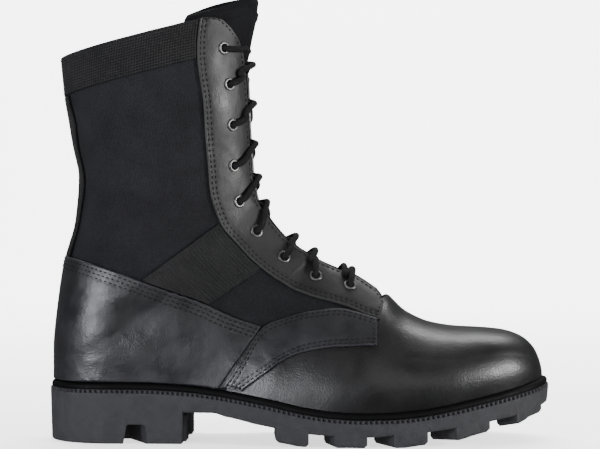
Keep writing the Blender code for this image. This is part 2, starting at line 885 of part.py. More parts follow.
def lug_loop(lug, side):
    """Corners of a block from above, each with the height of its bottom."""
    start, end, start_drop, end_drop, length = lug
    edge, inset = [], []
    for share in spread(0.0, 1.0, LUG_STEPS):
        x = (start + (end - start) * share) * FOOT_LENGTH
        place = sole_row(min(x, FOOT_LENGTH * LUG_LAST))
        point = surface(place, 1.0, side)
        ahead = surface(place + LUG_SAMPLE, 1.0, side) - surface(place - LUG_SAMPLE, 1.0, side)
        way = Vector((ahead.y, -ahead.x, 0.0)).normalized() * -side
        reach = LIP_REACH + SIDE_STEP + LUG_PROUD
        drop = (start_drop + (end_drop - start_drop) * share) * COLLAR_HEIGHT
        back = Vector((LUG_SLANT * length, 0.0, 0.0))
        edge.append((point + way * reach, drop))
        inset.append((point - way * (LUG_LENGTH * length - reach) - back, drop))
    loop = edge + list(reversed(inset[::LUG_STEPS]))
    return [(point, max(underside(point.x) - drop, 0.0)) for point, drop in loop]


def make_lugs(word, side):
    """Guide with the slanted blocks along one side of the forefoot."""
    points, faces = [], []
    for lug in LUGS:
        loop = lug_loop(lug, side)
        centre = sum((point for point, _ in loop), Vector()) / len(loop)
        first, count = len(points), len(loop)
        for point, height in loop:
            points.append(Vector((point.x, point.y, underside(point.x) + LUG_EMBED)))
        for point, height in loop:
            points.append(Vector((point.x, point.y, height + LUG_CHAMFER)))
        for point, height in loop:
            way = centre - point
            way.z = 0.0
            point = point + way.normalized() * LUG_CHAMFER
            points.append(Vector((point.x, point.y, height)))
        for low in (first, first + count):
            for index in range(count):
                after = (index + 1) % count
                faces.append([low + index, low + after, low + count + after, low + count + index])
        faces.append(list(range(first, first + count)))
        faces.append(list(range(first + 2 * count, first + 3 * count)))
    return make_object("lug_guide_" + word, points, faces, None)


def make_notches():
    """Cutter with the channel in each side of the heel, slanted to the back as it goes in."""
    points, faces = [], []
    for _, side in SIDES:
        outer_y = side * HEEL_WIDTH
        inner_y = side * (0.5 * HEEL_WIDTH - NOTCH_DEPTH)
        taper = 0.5 * (NOTCH_WIDTH - NOTCH_TOP_WIDTH)
        first = len(points)
        for y in (outer_y, inner_y):
            back = (abs(y) - 0.5 * HEEL_WIDTH) / NOTCH_DEPTH * NOTCH_SLANT
            start = NOTCH_START + back
            points.append(Vector((start, y, -NOTCH_OVERRUN)))
            points.append(Vector((start + NOTCH_WIDTH, y, -NOTCH_OVERRUN)))
            points.append(Vector((start + NOTCH_WIDTH - taper, y, NOTCH_HEIGHT)))
            points.append(Vector((start + taper, y, NOTCH_HEIGHT)))
        quads = ((0, 1, 2, 3), (7, 6, 5, 4), (0, 4, 5, 1), (1, 5, 6, 2), (2, 6, 7, 3), (3, 7, 4, 0))
        faces += [[first + corner for corner in quad] for quad in quads]
    return make_object("notch_cutter", points, faces, None)


def make_insole():
    """Flat liner, whose ends skip the lines that an inset edge would fold over."""
    rows = [place for place in sole_rows() if place not in INSOLE_SKIPS]
    edge = outline(rows, -(WALL + INSOLE_GAP))
    low = [point.z for point in outline(rows, 0.0)]
    top = [height + INSOLE_THICKNESS for height in low]
    finish = material("insole_cloth", INSOLE_COLOUR, 0.9)
    return ring_solid("insole", [level(edge, top), level(edge, low)], finish)


# Eyelets and laces


def eyelet_place(index):
    x, z = EYELETS[index]
    return locate(x * FOOT_LENGTH, z * COLLAR_HEIGHT)


def frame_at(place, t, side):
    """Centre on the upper's face, its normal, and two ways across it."""
    centre, way = surface(place, t, side), normal(place, t, side)
    across = way.cross(Vector((1.0, 0.0, 0.0))).normalized()
    return centre, way, across, way.cross(across)


def turned(centre, way, across, other, profile, closed):
    """Points and faces of a profile of radius and height, turned round an eyelet's axis."""
    points, faces = [], []
    count = len(profile)
    for step in range(EYELET_SIDES):
        angle = 2.0 * math.pi * step / EYELET_SIDES
        ray = across * math.cos(angle) + other * math.sin(angle)
        points += [centre + ray * radius + way * height for radius, height in profile]
    for step in range(EYELET_SIDES):
        low, high = step * count, (step + 1) % EYELET_SIDES * count
        for index in range(count if closed else count - 1):
            after = (index + 1) % count
            faces.append([low + index, low + after, high + after, high + index])
    if not closed:
        faces.append([step * count for step in range(EYELET_SIDES)])
        faces.append([step * count + count - 1 for step in range(EYELET_SIDES)])
    return points, faces


def make_eyelets():
    finish = material("eyelet_metal", METAL_COLOUR, 0.35, 0.9)
    rest = OVERLAY_LIFT + LEATHER + CLEARANCE
    profile = [
        (EYELET_BORE, -WALL),
        (EYELET_BARREL, -WALL),
        (EYELET_BARREL, rest),
        (EYELET_RADIUS, rest),
        (EYELET_BORE, rest + EYELET_HEIGHT),
    ]
    for word, side in SIDES:
        for index in range(len(EYELETS)):
            centre, way, across, other = frame_at(*eyelet_place(index), side)
            points, faces = turned(centre, way, across, other, profile, True)
            make_object(f"eyelet_{word}_{index + 1}", points, faces, finish)


def make_eyelet_cutter():
    points, faces = [], []
    radius = EYELET_BARREL + CLEARANCE
    profile = [(radius, -WALL - CUT_OVERRUN), (radius, LEATHER + CUT_OVERRUN)]
    for _, side in SIDES:
        for index in range(len(EYELETS)):
            centre, way, across, other = frame_at(*eyelet_place(index), side)
            more, loops = turned(centre, way, across, other, profile, False)
            faces += [[corner + len(points) for corner in loop] for loop in loops]
            points += more
    return make_object("eyelet_cutter", points, faces, None)


def tube(path, radius):
    """Points and faces of a round tube with flat ends along a path."""
    points, faces = [], []
    for index, point in enumerate(path):
        ahead = path[min(index + 1, len(path) - 1)] - path[max(index - 1, 0)]
        ahead.normalize()
        across = ahead.cross(LACE_UP).normalized()
        other = ahead.cross(across)
        for step in range(LACE_SIDES):
            angle = 2.0 * math.pi * step / LACE_SIDES
            points.append(point + (across * math.cos(angle) + other * math.sin(angle)) * radius)
    for index in range(len(path) - 1):
        for step in range(LACE_SIDES):
            after = (step + 1) % LACE_SIDES
            low, high = index * LACE_SIDES, (index + 1) * LACE_SIDES
            faces.append([low + step, low + after, high + after, high + step])
    faces.append(list(range(LACE_SIDES)))
    faces.append(list(range(len(points) - LACE_SIDES, len(points))))
    return points, faces


def strand(index, side):
    """Path of one strand from an eyelet over the ridge to the next eyelet on the other side."""
    radius = 0.5 * LACE_DIAMETER
    start, end = eyelet_place(index), eyelet_place(index + 1)
    clear = EYELET_RADIUS + CLEARANCE + LACE_END_GAP
    path = []
    for step in range(-LACE_STEPS, LACE_STEPS + 1):
        share = step / LACE_STEPS
        way = LACE_SPLIT + (1.0 - 2.0 * LACE_SPLIT) * 0.5 * (share + 1.0)
        place = start[0] + (end[0] - start[0]) * way
        reach = (start if step < 0 else end)[1]
        distance = share_of(place, reach) * line_length(place) - clear
        t = t_at(place, distance * share * share)
        lift = OVERLAY_LIFT + LEATHER + CLEARANCE + radius + LACE_RISE
        lift -= LACE_DIP * (1.0 - abs(share)) ** LACE_POWER
        if side > 0:
            lift += LACE_OVER * (1.0 - abs(share))
        path.append(lifted(place, t, -side if step > 0 else side, lift))
    return path


def make_laces():
    finish = material("lace_cord", LACE_COLOUR, 0.85)
    for index in range(len(EYELETS) - 1):
        cords = []
        for side in (-1, 1):
            points, faces = tube(strand(index, side), 0.5 * LACE_DIAMETER)
            name = f"lace_crossing_{index + 1}" if side < 0 else f"lace_guide_{index + 1}"
            cords.append(make_object(name, points, faces, finish))
        modifier_cut(cords[0], cords[1], "UNION", "crossing")


def main():
    for thing in list(bpy.data.objects):
        bpy.data.objects.remove(thing, do_unlink=True)
    upper = make_upper()
    cutter = make_eyelet_cutter()
    modifier_cut(upper, cutter, "DIFFERENCE", "eyelet_holes")
    for stay in make_eyestays():
        modifier_cut(stay, cutter, "DIFFERENCE", "eyelet_holes")
    make_collar_band()
    make_backstay()
    make_quarter()
    make_side_bands()
    make_ankle_straps()
    make_tongue()
    make_outsole()
    make_insole()
    make_eyelets()
    make_laces()


main()
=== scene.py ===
"""Black jungle boot for the right foot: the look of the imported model, with its floor, lights and camera.

Lengths are in millimetres and become metres when a mesh is made. +X points to the toe, +Z up and +Y to
the inner side of the foot. The upper's outer face is one surface, worked out from section lines that run,
seen from the side, from a ridge to a base. Every piece of the upper is a patch of that surface.
"""
import math

import bmesh
import bpy
import numpy as np
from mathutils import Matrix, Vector


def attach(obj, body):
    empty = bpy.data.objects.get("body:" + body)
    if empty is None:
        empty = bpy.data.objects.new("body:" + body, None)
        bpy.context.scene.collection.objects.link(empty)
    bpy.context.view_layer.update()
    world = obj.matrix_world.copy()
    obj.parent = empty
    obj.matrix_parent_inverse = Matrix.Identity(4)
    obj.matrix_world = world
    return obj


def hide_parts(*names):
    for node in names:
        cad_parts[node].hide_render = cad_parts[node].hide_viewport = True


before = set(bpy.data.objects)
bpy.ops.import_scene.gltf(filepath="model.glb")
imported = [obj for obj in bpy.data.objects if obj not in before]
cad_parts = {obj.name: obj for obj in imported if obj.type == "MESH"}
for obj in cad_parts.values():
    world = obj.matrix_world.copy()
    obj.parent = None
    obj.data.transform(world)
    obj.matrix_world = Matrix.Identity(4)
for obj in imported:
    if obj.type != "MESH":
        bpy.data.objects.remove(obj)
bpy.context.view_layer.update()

METRE = 0.001

# Driving dimensions
FOOT_LENGTH = 304.0
COLLAR_HEIGHT = 236.0
BALL_WIDTH = 103.0
HEEL_WIDTH = 69.0
ANKLE_WIDTH = 74.0
COLLAR_WIDTH = 82.0
CLEARANCE = 0.3
OVERLAY_LIFT = 0.7
WALL = 2.0
LEATHER = 1.4
INSOLE_THICKNESS = 3.0
HEEL_MIDDLE = 36.0

# Sole
LIP_REACH = 3.0
LIP_HEIGHT = 5.0
LIP_RADIUS = 2.4
SIDE_STEP = 0.8
HEEL_BREAST = 82.0
LUG_PROUD = -0.65
LUG_EMBED = 2.5
LUG_LENGTH = 30.0
LUG_CHAMFER = 2.0
NOTCH_WIDTH = 15.0
NOTCH_TOP_WIDTH = 11.0
NOTCH_HEIGHT = 12.0
NOTCH_DEPTH = 26.0
NOTCH_START = 44.5
NOTCH_SLANT = 12.0

# Section lines, from the tongue's top over the shaft and round the heel to the toe.
# front and base are points seen from the side, x as a share of FOOT_LENGTH and z of COLLAR_HEIGHT.
# outer and inner are half widths as shares of the width that rules the line.
# reach is how far the round of the ridge runs down the line, as a share of the line's length.
# full is how square the ridge is. rule names the ruling width.
SECTIONS = [
    # front_x, front_z, base_x, base_z, outer, inner, reach, full, rule
    (0.421, 1.140, 0.016, 1.025, 0.500, 0.500, 0.50, 2.00, "collar"),
    (0.409, 1.134, 0.016, 1.004, 0.500, 0.500, 0.50, 2.00, "collar"),
    (0.399, 1.030, 0.024, 0.903, 0.500, 0.500, 0.50, 2.00, "collar"),
    (0.402, 0.924, 0.036, 0.805, 0.530, 0.530, 0.50, 2.00, "ankle"),
    (0.404, 0.826, 0.052, 0.699, 0.520, 0.520, 0.50, 2.00, "ankle"),
    (0.408, 0.746, 0.047, 0.585, 0.505, 0.505, 0.50, 2.00, "ankle"),
    (0.414, 0.690, 0.021, 0.458, 0.500, 0.500, 0.50, 2.00, "ankle"),
    (0.421, 0.645, 0.001, 0.242, 0.505, 0.500, 0.52, 2.00, "ankle"),
    (0.455, 0.583, 0.001, 0.158, 0.520, 0.505, 0.55, 2.00, "heel"),
    (0.487, 0.536, 0.030, 0.158, 0.520, 0.505, 0.60, 2.00, "heel"),
    (0.505, 0.517, 0.105, 0.159, 0.515, 0.500, 0.66, 2.00, "heel"),
    (0.518, 0.505, 0.190, 0.158, 0.510, 0.480, 0.74, 2.00, "heel"),
    (0.530, 0.494, 0.270, 0.153, 0.510, 0.450, 0.82, 2.00, "heel"),
    (0.538, 0.484, 0.345, 0.142, 0.535, 0.435, 0.88, 2.00, "heel"),
    (0.580, 0.456, 0.440, 0.122, 0.430, 0.345, 0.94, 2.05, "ball"),
    (0.620, 0.434, 0.520, 0.101, 0.480, 0.410, 0.97, 2.10, "ball"),
    (0.650, 0.409, 0.580, 0.091, 0.505, 0.455, 0.97, 2.15, "ball"),
    (0.680, 0.384, 0.632, 0.088, 0.510, 0.485, 0.97, 2.20, "ball"),
    (0.720, 0.337, 0.685, 0.089, 0.500, 0.500, 0.97, 2.25, "ball"),
    (0.772, 0.308, 0.745, 0.095, 0.475, 0.515, 0.97, 2.35, "ball"),
    (0.823, 0.298, 0.806, 0.108, 0.433, 0.508, 0.97, 2.45, "ball"),
    (0.870, 0.295, 0.862, 0.123, 0.373, 0.478, 0.97, 2.50, "ball"),
    (0.912, 0.290, 0.908, 0.136, 0.308, 0.433, 0.97, 2.45, "ball"),
    (0.948, 0.277, 0.946, 0.148, 0.233, 0.368, 0.97, 2.30, "ball"),
    (0.974, 0.254, 0.974, 0.157, 0.152, 0.292, 0.97, 2.15, "ball"),
    (0.990, 0.222, 0.991, 0.163, 0.065, 0.205, 0.97, 2.05, "ball"),
    (1.000, 0.168, 1.000, 0.167, -0.068, 0.072, 0.97, 2.00, "ball"),
]
COLLAR_ROW = 1.0
BAND_ROW = 2.0
CORNER_ROW = 8.0
THROAT_END_ROW = 17.1
TOE_ROW = len(SECTIONS) - 1.0

# Round of the boot's back: how far it runs forward at the heel and up the shaft, how soon the one turns
# into the other, and how many rows past the corner it reaches.
HEEL_ROUND = 38.0
SHAFT_ROUND = 46.0
SHAFT_ROUND_RISE = 1.6
HEEL_ROUND_ROWS = 6.0

# Rows over which the section lines open from the shaft's form to the foot's.
TURN_ROWS = 3.5
FOOT_ROWS = 4.0

RULES = {
    "collar": COLLAR_WIDTH,
    "ankle": ANKLE_WIDTH,
    "heel": HEEL_WIDTH,
    "ball": BALL_WIDTH,
}

# The foot bulges a little over the sole before it rounds over to the ridge: by how much, and up to
# which share of a line from its base.
SIDE_BULGE = 0.03
BULGE_SPAN = 0.6

# Halvings in the search for a place.
BISECTIONS = 40

# Sideways place of the ridge at a section line, as a share of BALL_WIDTH.
RIDGE_SHIFTS = [
    # row, share
    (12.0, 0.000),
    (16.0, 0.030),
    (20.0, 0.035),
    (23.0, 0.050),
    (26.0, 0.070),
]

# Edges of the eyestay on the section lines, as shares of EYESTAY_WIDTH from the ridge.
EYESTAY_WIDTH = 26.0
EYESTAY = [
    # row, front, rear
    (0.95, 1.230, 1.260),
    (1.10, 0.980, 1.250),
    (1.26, 0.730, 1.240),
    (1.55, 0.450, 1.230),
    (1.83, 0.260, 1.210),
    (2.20, 0.170, 1.180),
    (3.30, 0.130, 1.090),
    (4.80, 0.120, 1.080),
    (6.10, 0.150, 1.140),
    (7.00, 0.160, 1.130),
    (8.20, 0.200, 1.090),
    (10.00, 0.190, 1.070),
    (13.00, 0.140, 0.960),
    (14.80, 0.110, 0.780),
    (16.20, 0.120, 0.680),
    (16.95, 0.260, 0.610),
]

# Eyelets seen from the side, x as a share of FOOT_LENGTH and z of COLLAR_HEIGHT.
EYELETS = [
    # x, z
    (0.349, 1.025),
    (0.359, 0.932),
    (0.365, 0.826),
    (0.368, 0.720),
    (0.378, 0.627),
    (0.414, 0.547),
    (0.470, 0.479),
    (0.536, 0.428),
    (0.605, 0.403),
]

# Half width of the tongue at a section line, as a share of TONGUE_WIDTH, measured along the line.
TONGUE_WIDTH = 72.0
TONGUE = [
    # row, half
    (0.0, 0.540),
    (0.6, 0.570),
    (3.0, 0.560),
    (7.0, 0.540),
    (10.0, 0.520),
    (13.0, 0.480),
    (15.0, 0.420),
    (17.1, 0.300),
]

# Top edge of the rear quarter seen from the side, from the back to where the side band starts,
# and the edge of the strap of leather that runs from the sole up and forward over the vamp.
# x is a share of FOOT_LENGTH and z of COLLAR_HEIGHT.
QUARTER_TOP = [
    # x, z
    (0.020, 0.483),
    (0.056, 0.474),
    (0.138, 0.445),
    (0.220, 0.407),
    (0.303, 0.369),
    (0.375, 0.326),
    (0.428, 0.302),
]
BAND_TOP = [
    # x, z
    (0.354, 0.148),
    (0.393, 0.222),
    (0.434, 0.302),
    (0.474, 0.322),
    (0.523, 0.339),
    (0.586, 0.347),
    (0.661, 0.322),
]
BAND_LOW = [
    # x, z
    (0.390, 0.138),
    (0.414, 0.162),
    (0.444, 0.190),
    (0.466, 0.212),
    (0.510, 0.238),
    (0.586, 0.254),
    (0.661, 0.258),
]

# Underside of the sole between its lugs, and the lugs, from the breast of the heel to the toe.
# x is a share of FOOT_LENGTH and z of COLLAR_HEIGHT.
UNDERSIDE = [
    # x, z
    (0.270, 0.081),
    (0.330, 0.081),
    (0.358, 0.072),
    (0.421, 0.055),
    (0.526, 0.034),
    (0.566, 0.030),
    (0.650, 0.027),
    (0.684, 0.030),
    (0.783, 0.042),
    (0.855, 0.055),
    (0.931, 0.072),
    (0.970, 0.088),
    (1.000, 0.098),
]
LUGS = [
    # start_x, end_x, start_drop, end_drop, length
    (0.462, 0.528, 0.036, 0.033, 1.00),
    (0.578, 0.642, 0.034, 0.034, 1.00),
    (0.694, 0.760, 0.033, 0.032, 1.00),
    (0.816, 0.882, 0.031, 0.026, 0.85),
    (0.936, 0.992, 0.024, 0.020, 0.45),
]
LUG_SLANT = 9.0
LUG_LAST = 0.985
WALL_DRAFT = 0.8
EDGE_ROUND = 1.5
SEAT_INSET = 1.0
BREAST_STEP = 0.3
INSOLE_GAP = 4.0

# Panels. Rows are section lines, BAND_STAY_GAP and THROAT_CLOSING are parts of a row and STRAP_LAST is a t.
SIDES = (("outer", -1), ("inner", 1))
WEBBING = 1.1
LEATHER_FACE = OVERLAY_LIFT + LEATHER
WEBBING_FACE = OVERLAY_LIFT + WEBBING
PANEL_GAP = 0.6
STAY_REACH = 4.5
BAND_STAY_GAP = 0.03
THROAT_CLOSING = 0.5
EYESTAY_END_ROW = 16.9
STRAP_ROWS = (7.0, 9.85)
CANVAS_ROW = 9.0
QUARTER_FOOT = 104.0
QUARTER_LIFT = 0.6
STRAP_LAST = 0.9

# Strip of the quarter under the side band: its cells, how much of the band's top edge it follows and how
# far it goes on under each.
EDGE_CELLS = 12
EDGE_SHARE = 1.0 / 3.0
EDGE_OVERLAP = 4.0


def columns(table, names):
    """Return the table as one list for each named column."""
    return {name: [row[index] for row in table] for index, name in enumerate(names)}


SECTION = columns(
    SECTIONS,
    ("front_x", "front_z", "base_x", "base_z", "outer", "inner", "reach", "full", "rule"),
)


def smooth(value):
    value = np.clip(value, 0.0, 1.0)
    return value * value * (3.0 - 2.0 * value)


def slope(values, index, flat_end):
    """Slope at a row, flat wherever the values turn, so that nothing overshoots."""
    last = len(values) - 1
    if index == 0:
        return values[1] - values[0]
    if index == last:
        return 0.0 if flat_end else values[last] - values[last - 1]
    before = values[index] - values[index - 1]
    after = values[index + 1] - values[index]
    if before * after <= 0.0:
        return 0.0
    return 2.0 * before * after / (before + after)


def along(values, place, flat_end=False):
    """Read a column at a fractional row."""
    place = min(max(place, 0.0), len(values) - 1.0)
    index = min(int(place), len(values) - 2)
    s = place - index
    start, end = values[index], values[index + 1]
    rise = (slope(values, index, flat_end), slope(values, index + 1, flat_end))
    hermite = (
        (2 * s**3 - 3 * s**2 + 1) * start
        + (s**3 - 2 * s**2 + s) * rise[0]
        + (-2 * s**3 + 3 * s**2) * end
        + (s**3 - s**2) * rise[1]
    )
    return hermite


WIDTHS = {
    side: [share * RULES[rule] for share, rule in zip(SECTION[side], SECTION["rule"])]
    for side in ("outer", "inner")
}
RIDGE_SHIFT = columns(RIDGE_SHIFTS, ("row", "share"))


def table_at(rows, values, place):
    """Read a short table whose first column is the row of the section lines."""
    if place <= rows[0]:
        return values[0]
    for index in range(len(rows) - 1):
        if place <= rows[index + 1]:
            span = rows[index + 1] - rows[index]
            return along(values, index + (place - rows[index]) / span)
    return values[-1]


def front(place):
    x = along(SECTION["front_x"], place, True) * FOOT_LENGTH
    return x, along(SECTION["front_z"], place) * COLLAR_HEIGHT


def base(place):
    x = along(SECTION["base_x"], place, True) * FOOT_LENGTH
    return x, along(SECTION["base_z"], place) * COLLAR_HEIGHT


def bisect(function, low, high):
    """Find where a rising function passes zero."""
    for _ in range(BISECTIONS):
        middle = 0.5 * (low + high)
        if function(middle) < 0.0:
            low = middle
        else:
            high = middle
    return 0.5 * (low + high)


def back_at(height):
    """x of the boot's back at a height."""
    if height <= base(CORNER_ROW)[1]:
        return base(CORNER_ROW)[0]
    row = bisect(lambda place: height - base(place)[1], 0.0, CORNER_ROW)
    return base(row)[0]


def sole_row(x):
    """Section line whose base is at x along the sole."""
    return bisect(lambda place: base(place)[0] - x, CORNER_ROW, TOE_ROW)


def turn(place):
    """Angle that spaces the points of a line: both ends close on the shaft, only the ridge on the foot."""
    return math.pi * (1.0 - 0.5 * smooth((place - CORNER_ROW) / TURN_ROWS))


def line_point(place, share):
    """Point seen from the side at a share of the way down a section line."""
    fx, fz = front(place)
    bx, bz = base(place)
    return fx + (bx - fx) * share, fz + (bz - fz) * share


def share_of(place, t):
    angle = turn(place)
    return (1.0 - math.cos(angle * t)) / (1.0 - math.cos(angle))


def t_of(place, share):
    angle = turn(place)
    return math.acos(max(-1.0, 1.0 - share * (1.0 - math.cos(angle)))) / angle


def rounded(share, power):
    return (1.0 - (1.0 - np.clip(share, 0.0, 1.0)) ** power) ** (1.0 / power)


def half_width(place, share, x, z, back):
    """Half width of a section line at shares of it. back gives the x of the boot's back at a height."""
    foot = smooth((place - CORNER_ROW) / FOOT_ROWS)
    width = 0.5 * (along(WIDTHS["outer"], place) + along(WIDTHS["inner"], place))
    width = width * rounded(share / along(SECTION["reach"], place), along(SECTION["full"], place))
    width *= 1.0 + SIDE_BULGE * foot * np.sin(np.pi * np.minimum((1.0 - share) / BULGE_SPAN, 1.0))
    corner_z = base(CORNER_ROW)[1]
    shaft = smooth((z - corner_z) / (COLLAR_HEIGHT - corner_z) * SHAFT_ROUND_RISE)
    round_length = HEEL_ROUND + (SHAFT_ROUND - HEEL_ROUND) * shaft
    if place < CORNER_ROW + HEEL_ROUND_ROWS:
        width *= rounded((x - back(z)) / round_length, 2.0)
    return width


def middle(place, share):
    """y of the line's middle: the ridge and the base shift by their own amounts."""
    low = 0.5 * (along(WIDTHS["inner"], place) - along(WIDTHS["outer"], place))
    high = table_at(RIDGE_SHIFT["row"], RIDGE_SHIFT["share"], place) * BALL_WIDTH
    return high + (low - high) * smooth(share)


def surface(place, t, side):
    """Point of the upper's outer face. side is -1 on the outer side of the foot and 1 on the inner."""
    share = share_of(place, t)
    x, z = line_point(place, share)
    return Vector((x, middle(place, share) + side * half_width(place, share, x, z, back_at), z))


def locate(x, z):
    """Section line and t of a point seen from the side."""

    def beyond(place):
        fx, fz = front(place)
        bx, bz = base(place)
        return (x - fx) * (bz - fz) - (z - fz) * (bx - fx)

    place = bisect(beyond, 0.0, TOE_ROW)
    fx, fz = front(place)
    bx, bz = base(place)
    share = math.hypot(x - fx, z - fz) / math.hypot(bx - fx, bz - fz)
    return place, t_of(place, min(share, 1.0))


def side_curve(table, share):
    """Point seen from the side at a share of the way along a table of x and z."""
    cols = columns(table, ("x", "z"))
    place = share * (len(table) - 1)
    return along(cols["x"], place) * FOOT_LENGTH, along(cols["z"], place) * COLLAR_HEIGHT


def line_length(place):
    fx, fz = front(place)
    bx, bz = base(place)
    return math.hypot(bx - fx, bz - fz)


def t_at(place, distance):
    """t of a point at a distance from the ridge along its line."""
    return t_of(place, max(distance, 0.0) / line_length(place))


EYESTAY_EDGE = columns(EYESTAY, ("row", "front", "rear"))


def eyestay_front(place):
    return table_at(EYESTAY_EDGE["row"], EYESTAY_EDGE["front"], place) * EYESTAY_WIDTH


def eyestay_rear(place):
    return table_at(EYESTAY_EDGE["row"], EYESTAY_EDGE["rear"], place) * EYESTAY_WIDTH


def throat_edge(place):
    """t where the upper starts beside the throat, closing to the ridge at the throat's lower end."""
    closing = 1.0 - smooth((place - THROAT_END_ROW + THROAT_CLOSING) / THROAT_CLOSING)
    return t_at(place, eyestay_front(place) * closing)


def spread(start, end, steps):
    return [start + (end - start) * index / steps for index in range(steps + 1)]



UNDER = columns(UNDERSIDE, ("x", "z"))


def underside(x):
    """Height of the sole's underside between the lugs. The heel stands on the floor."""
    if x < HEEL_BREAST:
        return 0.0
    share = x / FOOT_LENGTH
    return table_at(UNDER["x"], UNDER["z"], share) * COLLAR_HEIGHT


def quarter_top(x):
    """Height of the quarter's top edge at x."""
    way = bisect(lambda value: side_curve(QUARTER_TOP, value)[0] - x, 0.0, 1.0)
    return side_curve(QUARTER_TOP, way)[1]


def stay_foot(t):
    """Section line on which a point at t stands a gap above the quarter's top edge."""

    def under(place):
        x, z = line_point(place, share_of(place, t))
        return quarter_top(x) + PANEL_GAP - z

    return bisect(under, BAND_ROW, CORNER_ROW)


# The upper's outer face as one lattice of points and normals for each side


HEIGHTS = np.linspace(base(CORNER_ROW)[1], base(0.0)[1] + 1.0, 400)
BACKS = np.array([back_at(height) for height in HEIGHTS])
PLACE_STEP = 0.05
T_STEPS = 120
PLACES = np.arange(0.0, TOE_ROW + 0.5 * PLACE_STEP, PLACE_STEP)
TS = np.linspace(0.0, 1.0, T_STEPS + 1)

# Soft creases and swellings seen from the side, each a line from a start to an end in millimetres.
# width is how far it reaches to each side and height how far it stands out, below zero for a trough.
# side is -1 on the outer side of the foot, 1 on the inner and 0 on both.
CREASES = [
    # start_x, start_z, end_x, end_z, width, height, side
    (16.0, 214.0, 58.0, 224.0, 9.0, 1.0, -1),
    (18.0, 196.0, 78.0, 211.0, 11.0, -0.9, -1),
    (8.0, 178.0, 40.0, 172.0, 12.0, 1.1, -1),
    (14.0, 160.0, 60.0, 156.0, 10.0, -0.8, -1),
    (40.0, 190.0, 84.0, 176.0, 13.0, 0.8, -1),
    (12.0, 136.0, 70.0, 142.0, 10.0, 0.7, -1),
    (26.0, 118.0, 92.0, 134.0, 8.0, -0.9, -1),
    (60.0, 128.0, 100.0, 150.0, 8.0, 0.7, -1),
    (110.0, 100.0, 142.0, 92.0, 7.0, -0.6, -1),
    (16.0, 210.0, 76.0, 200.0, 12.0, 1.0, 1),
    (12.0, 186.0, 70.0, 192.0, 10.0, -0.9, 1),
    (10.0, 166.0, 66.0, 160.0, 11.0, 0.9, 1),
    (16.0, 146.0, 80.0, 150.0, 9.0, -0.8, 1),
    (20.0, 126.0, 84.0, 134.0, 9.0, 0.8, 1),
    (28.0, 112.0, 96.0, 122.0, 7.0, -0.7, 1),
    (108.0, 106.0, 140.0, 94.0, 8.0, 0.5, 1),
    (30.0, 60.0, 78.0, 52.0, 12.0, 0.6, 0),
    (20.0, 86.0, 60.0, 76.0, 9.0, -0.5, 0),
    (182.0, 72.0, 186.0, 48.0, 7.0, -0.5, 0),
    (196.0, 70.0, 204.0, 46.0, 8.0, -0.4, 0),
    (206.0, 72.0, 214.0, 50.0, 8.0, 0.4, 0),
    (150.0, 60.0, 150.0, 42.0, 9.0, -0.4, 0),
]

CREASE_FADE = 12.0


def crease_height(x, z, side):
    """How far the face stands out over the plain surface."""
    total = np.zeros_like(x)
    for start_x, start_z, end_x, end_z, width, height, on in CREASES:
        if on not in (0, side):
            continue
        way_x, way_z = end_x - start_x, end_z - start_z
        length = way_x**2 + way_z**2
        share = np.clip(((x - start_x) * way_x + (z - start_z) * way_z) / length, 0.0, 1.0)
        away = np.hypot(x - start_x - way_x * share, z - start_z - way_z * share)
        total += height * np.exp(-((away / width) ** 2))
    return total


def line_points(place, ts):
    """Points of one section line on both sides, before the creases."""
    angle = turn(place)
    share = (1.0 - np.cos(angle * ts)) / (1.0 - math.cos(angle))
    x, z = line_point(place, share)
    width = half_width(place, share, x, z, lambda height: np.interp(height, HEIGHTS, BACKS))
    centre = middle(place, share)
    return [np.stack([x, centre + side * width, z], axis=1) for side in (-1, 1)]


def unit(vectors):
    length = np.linalg.norm(vectors, axis=-1, keepdims=True)
    return vectors / np.maximum(length, 1e-9)


def normals_of(points, side):
    """Outward normals of a lattice of points. On the two seams they have no sideways part."""
    down = np.gradient(points, axis=1)
    forward = np.gradient(points, axis=0)
    ways = np.cross(down, forward) * -side
    back = PLACES < CORNER_ROW + 0.05
    ways[:, 0, 1] = 0.0
    ways[back, -1, 1] = 0.0
    ways[~back, -1, 2] = 0.0
    ways = unit(ways)
    ways[0, 0] = ways[1, 0]
    ways[-1, :] = np.array([1.0, 0.0, 0.0])
    return ways


def make_lattice():
    lines = [line_points(place, TS) for place in PLACES]
    found = {}
    for index, side in enumerate((-1, 1)):
        points = np.array([line[index] for line in lines])
        ways = normals_of(points, side)
        rise = crease_height(points[..., 0], points[..., 2], side)
        rise *= smooth(np.abs(points[..., 1]) / CREASE_FADE)
        over_sole = smooth((points[..., 2].T - points[:, -1, 2]) / CREASE_FADE)
        rise *= np.where(PLACES < CORNER_ROW, 1.0, over_sole).T
        points = points + ways * rise[..., None]
        found[side] = (points, normals_of(points, side))
    return found


LATTICE = make_lattice()


def read_lattice(array, places, ts):
    row = np.clip(np.asarray(places, float) / PLACE_STEP, 0.0, len(PLACES) - 1.001)
    column = np.clip(np.asarray(ts, float) * T_STEPS, 0.0, T_STEPS - 0.001)
    row_low, column_low = row.astype(int), column.astype(int)
    r, c = (row - row_low)[..., None], (column - column_low)[..., None]
    first = array[row_low, column_low] * (1 - c) + array[row_low, column_low + 1] * c
    second = array[row_low + 1, column_low] * (1 - c) + array[row_low + 1, column_low + 1] * c
    return first * (1 - r) + second * r


def read_sides(kind, places, ts, side):
    """Points, kind 0, or normals, kind 1, of the face. side may be -1, 1 or an array of them."""
    side = np.broadcast_to(side, np.shape(places))
    result = np.zeros(np.shape(places) + (3,))
    for value in (-1, 1):
        here = side == value
        result[here] = read_lattice(LATTICE[value][kind], places[here], ts[here])
    return result


def way_out(places, ts, side):
    return unit(read_sides(1, places, ts, side))


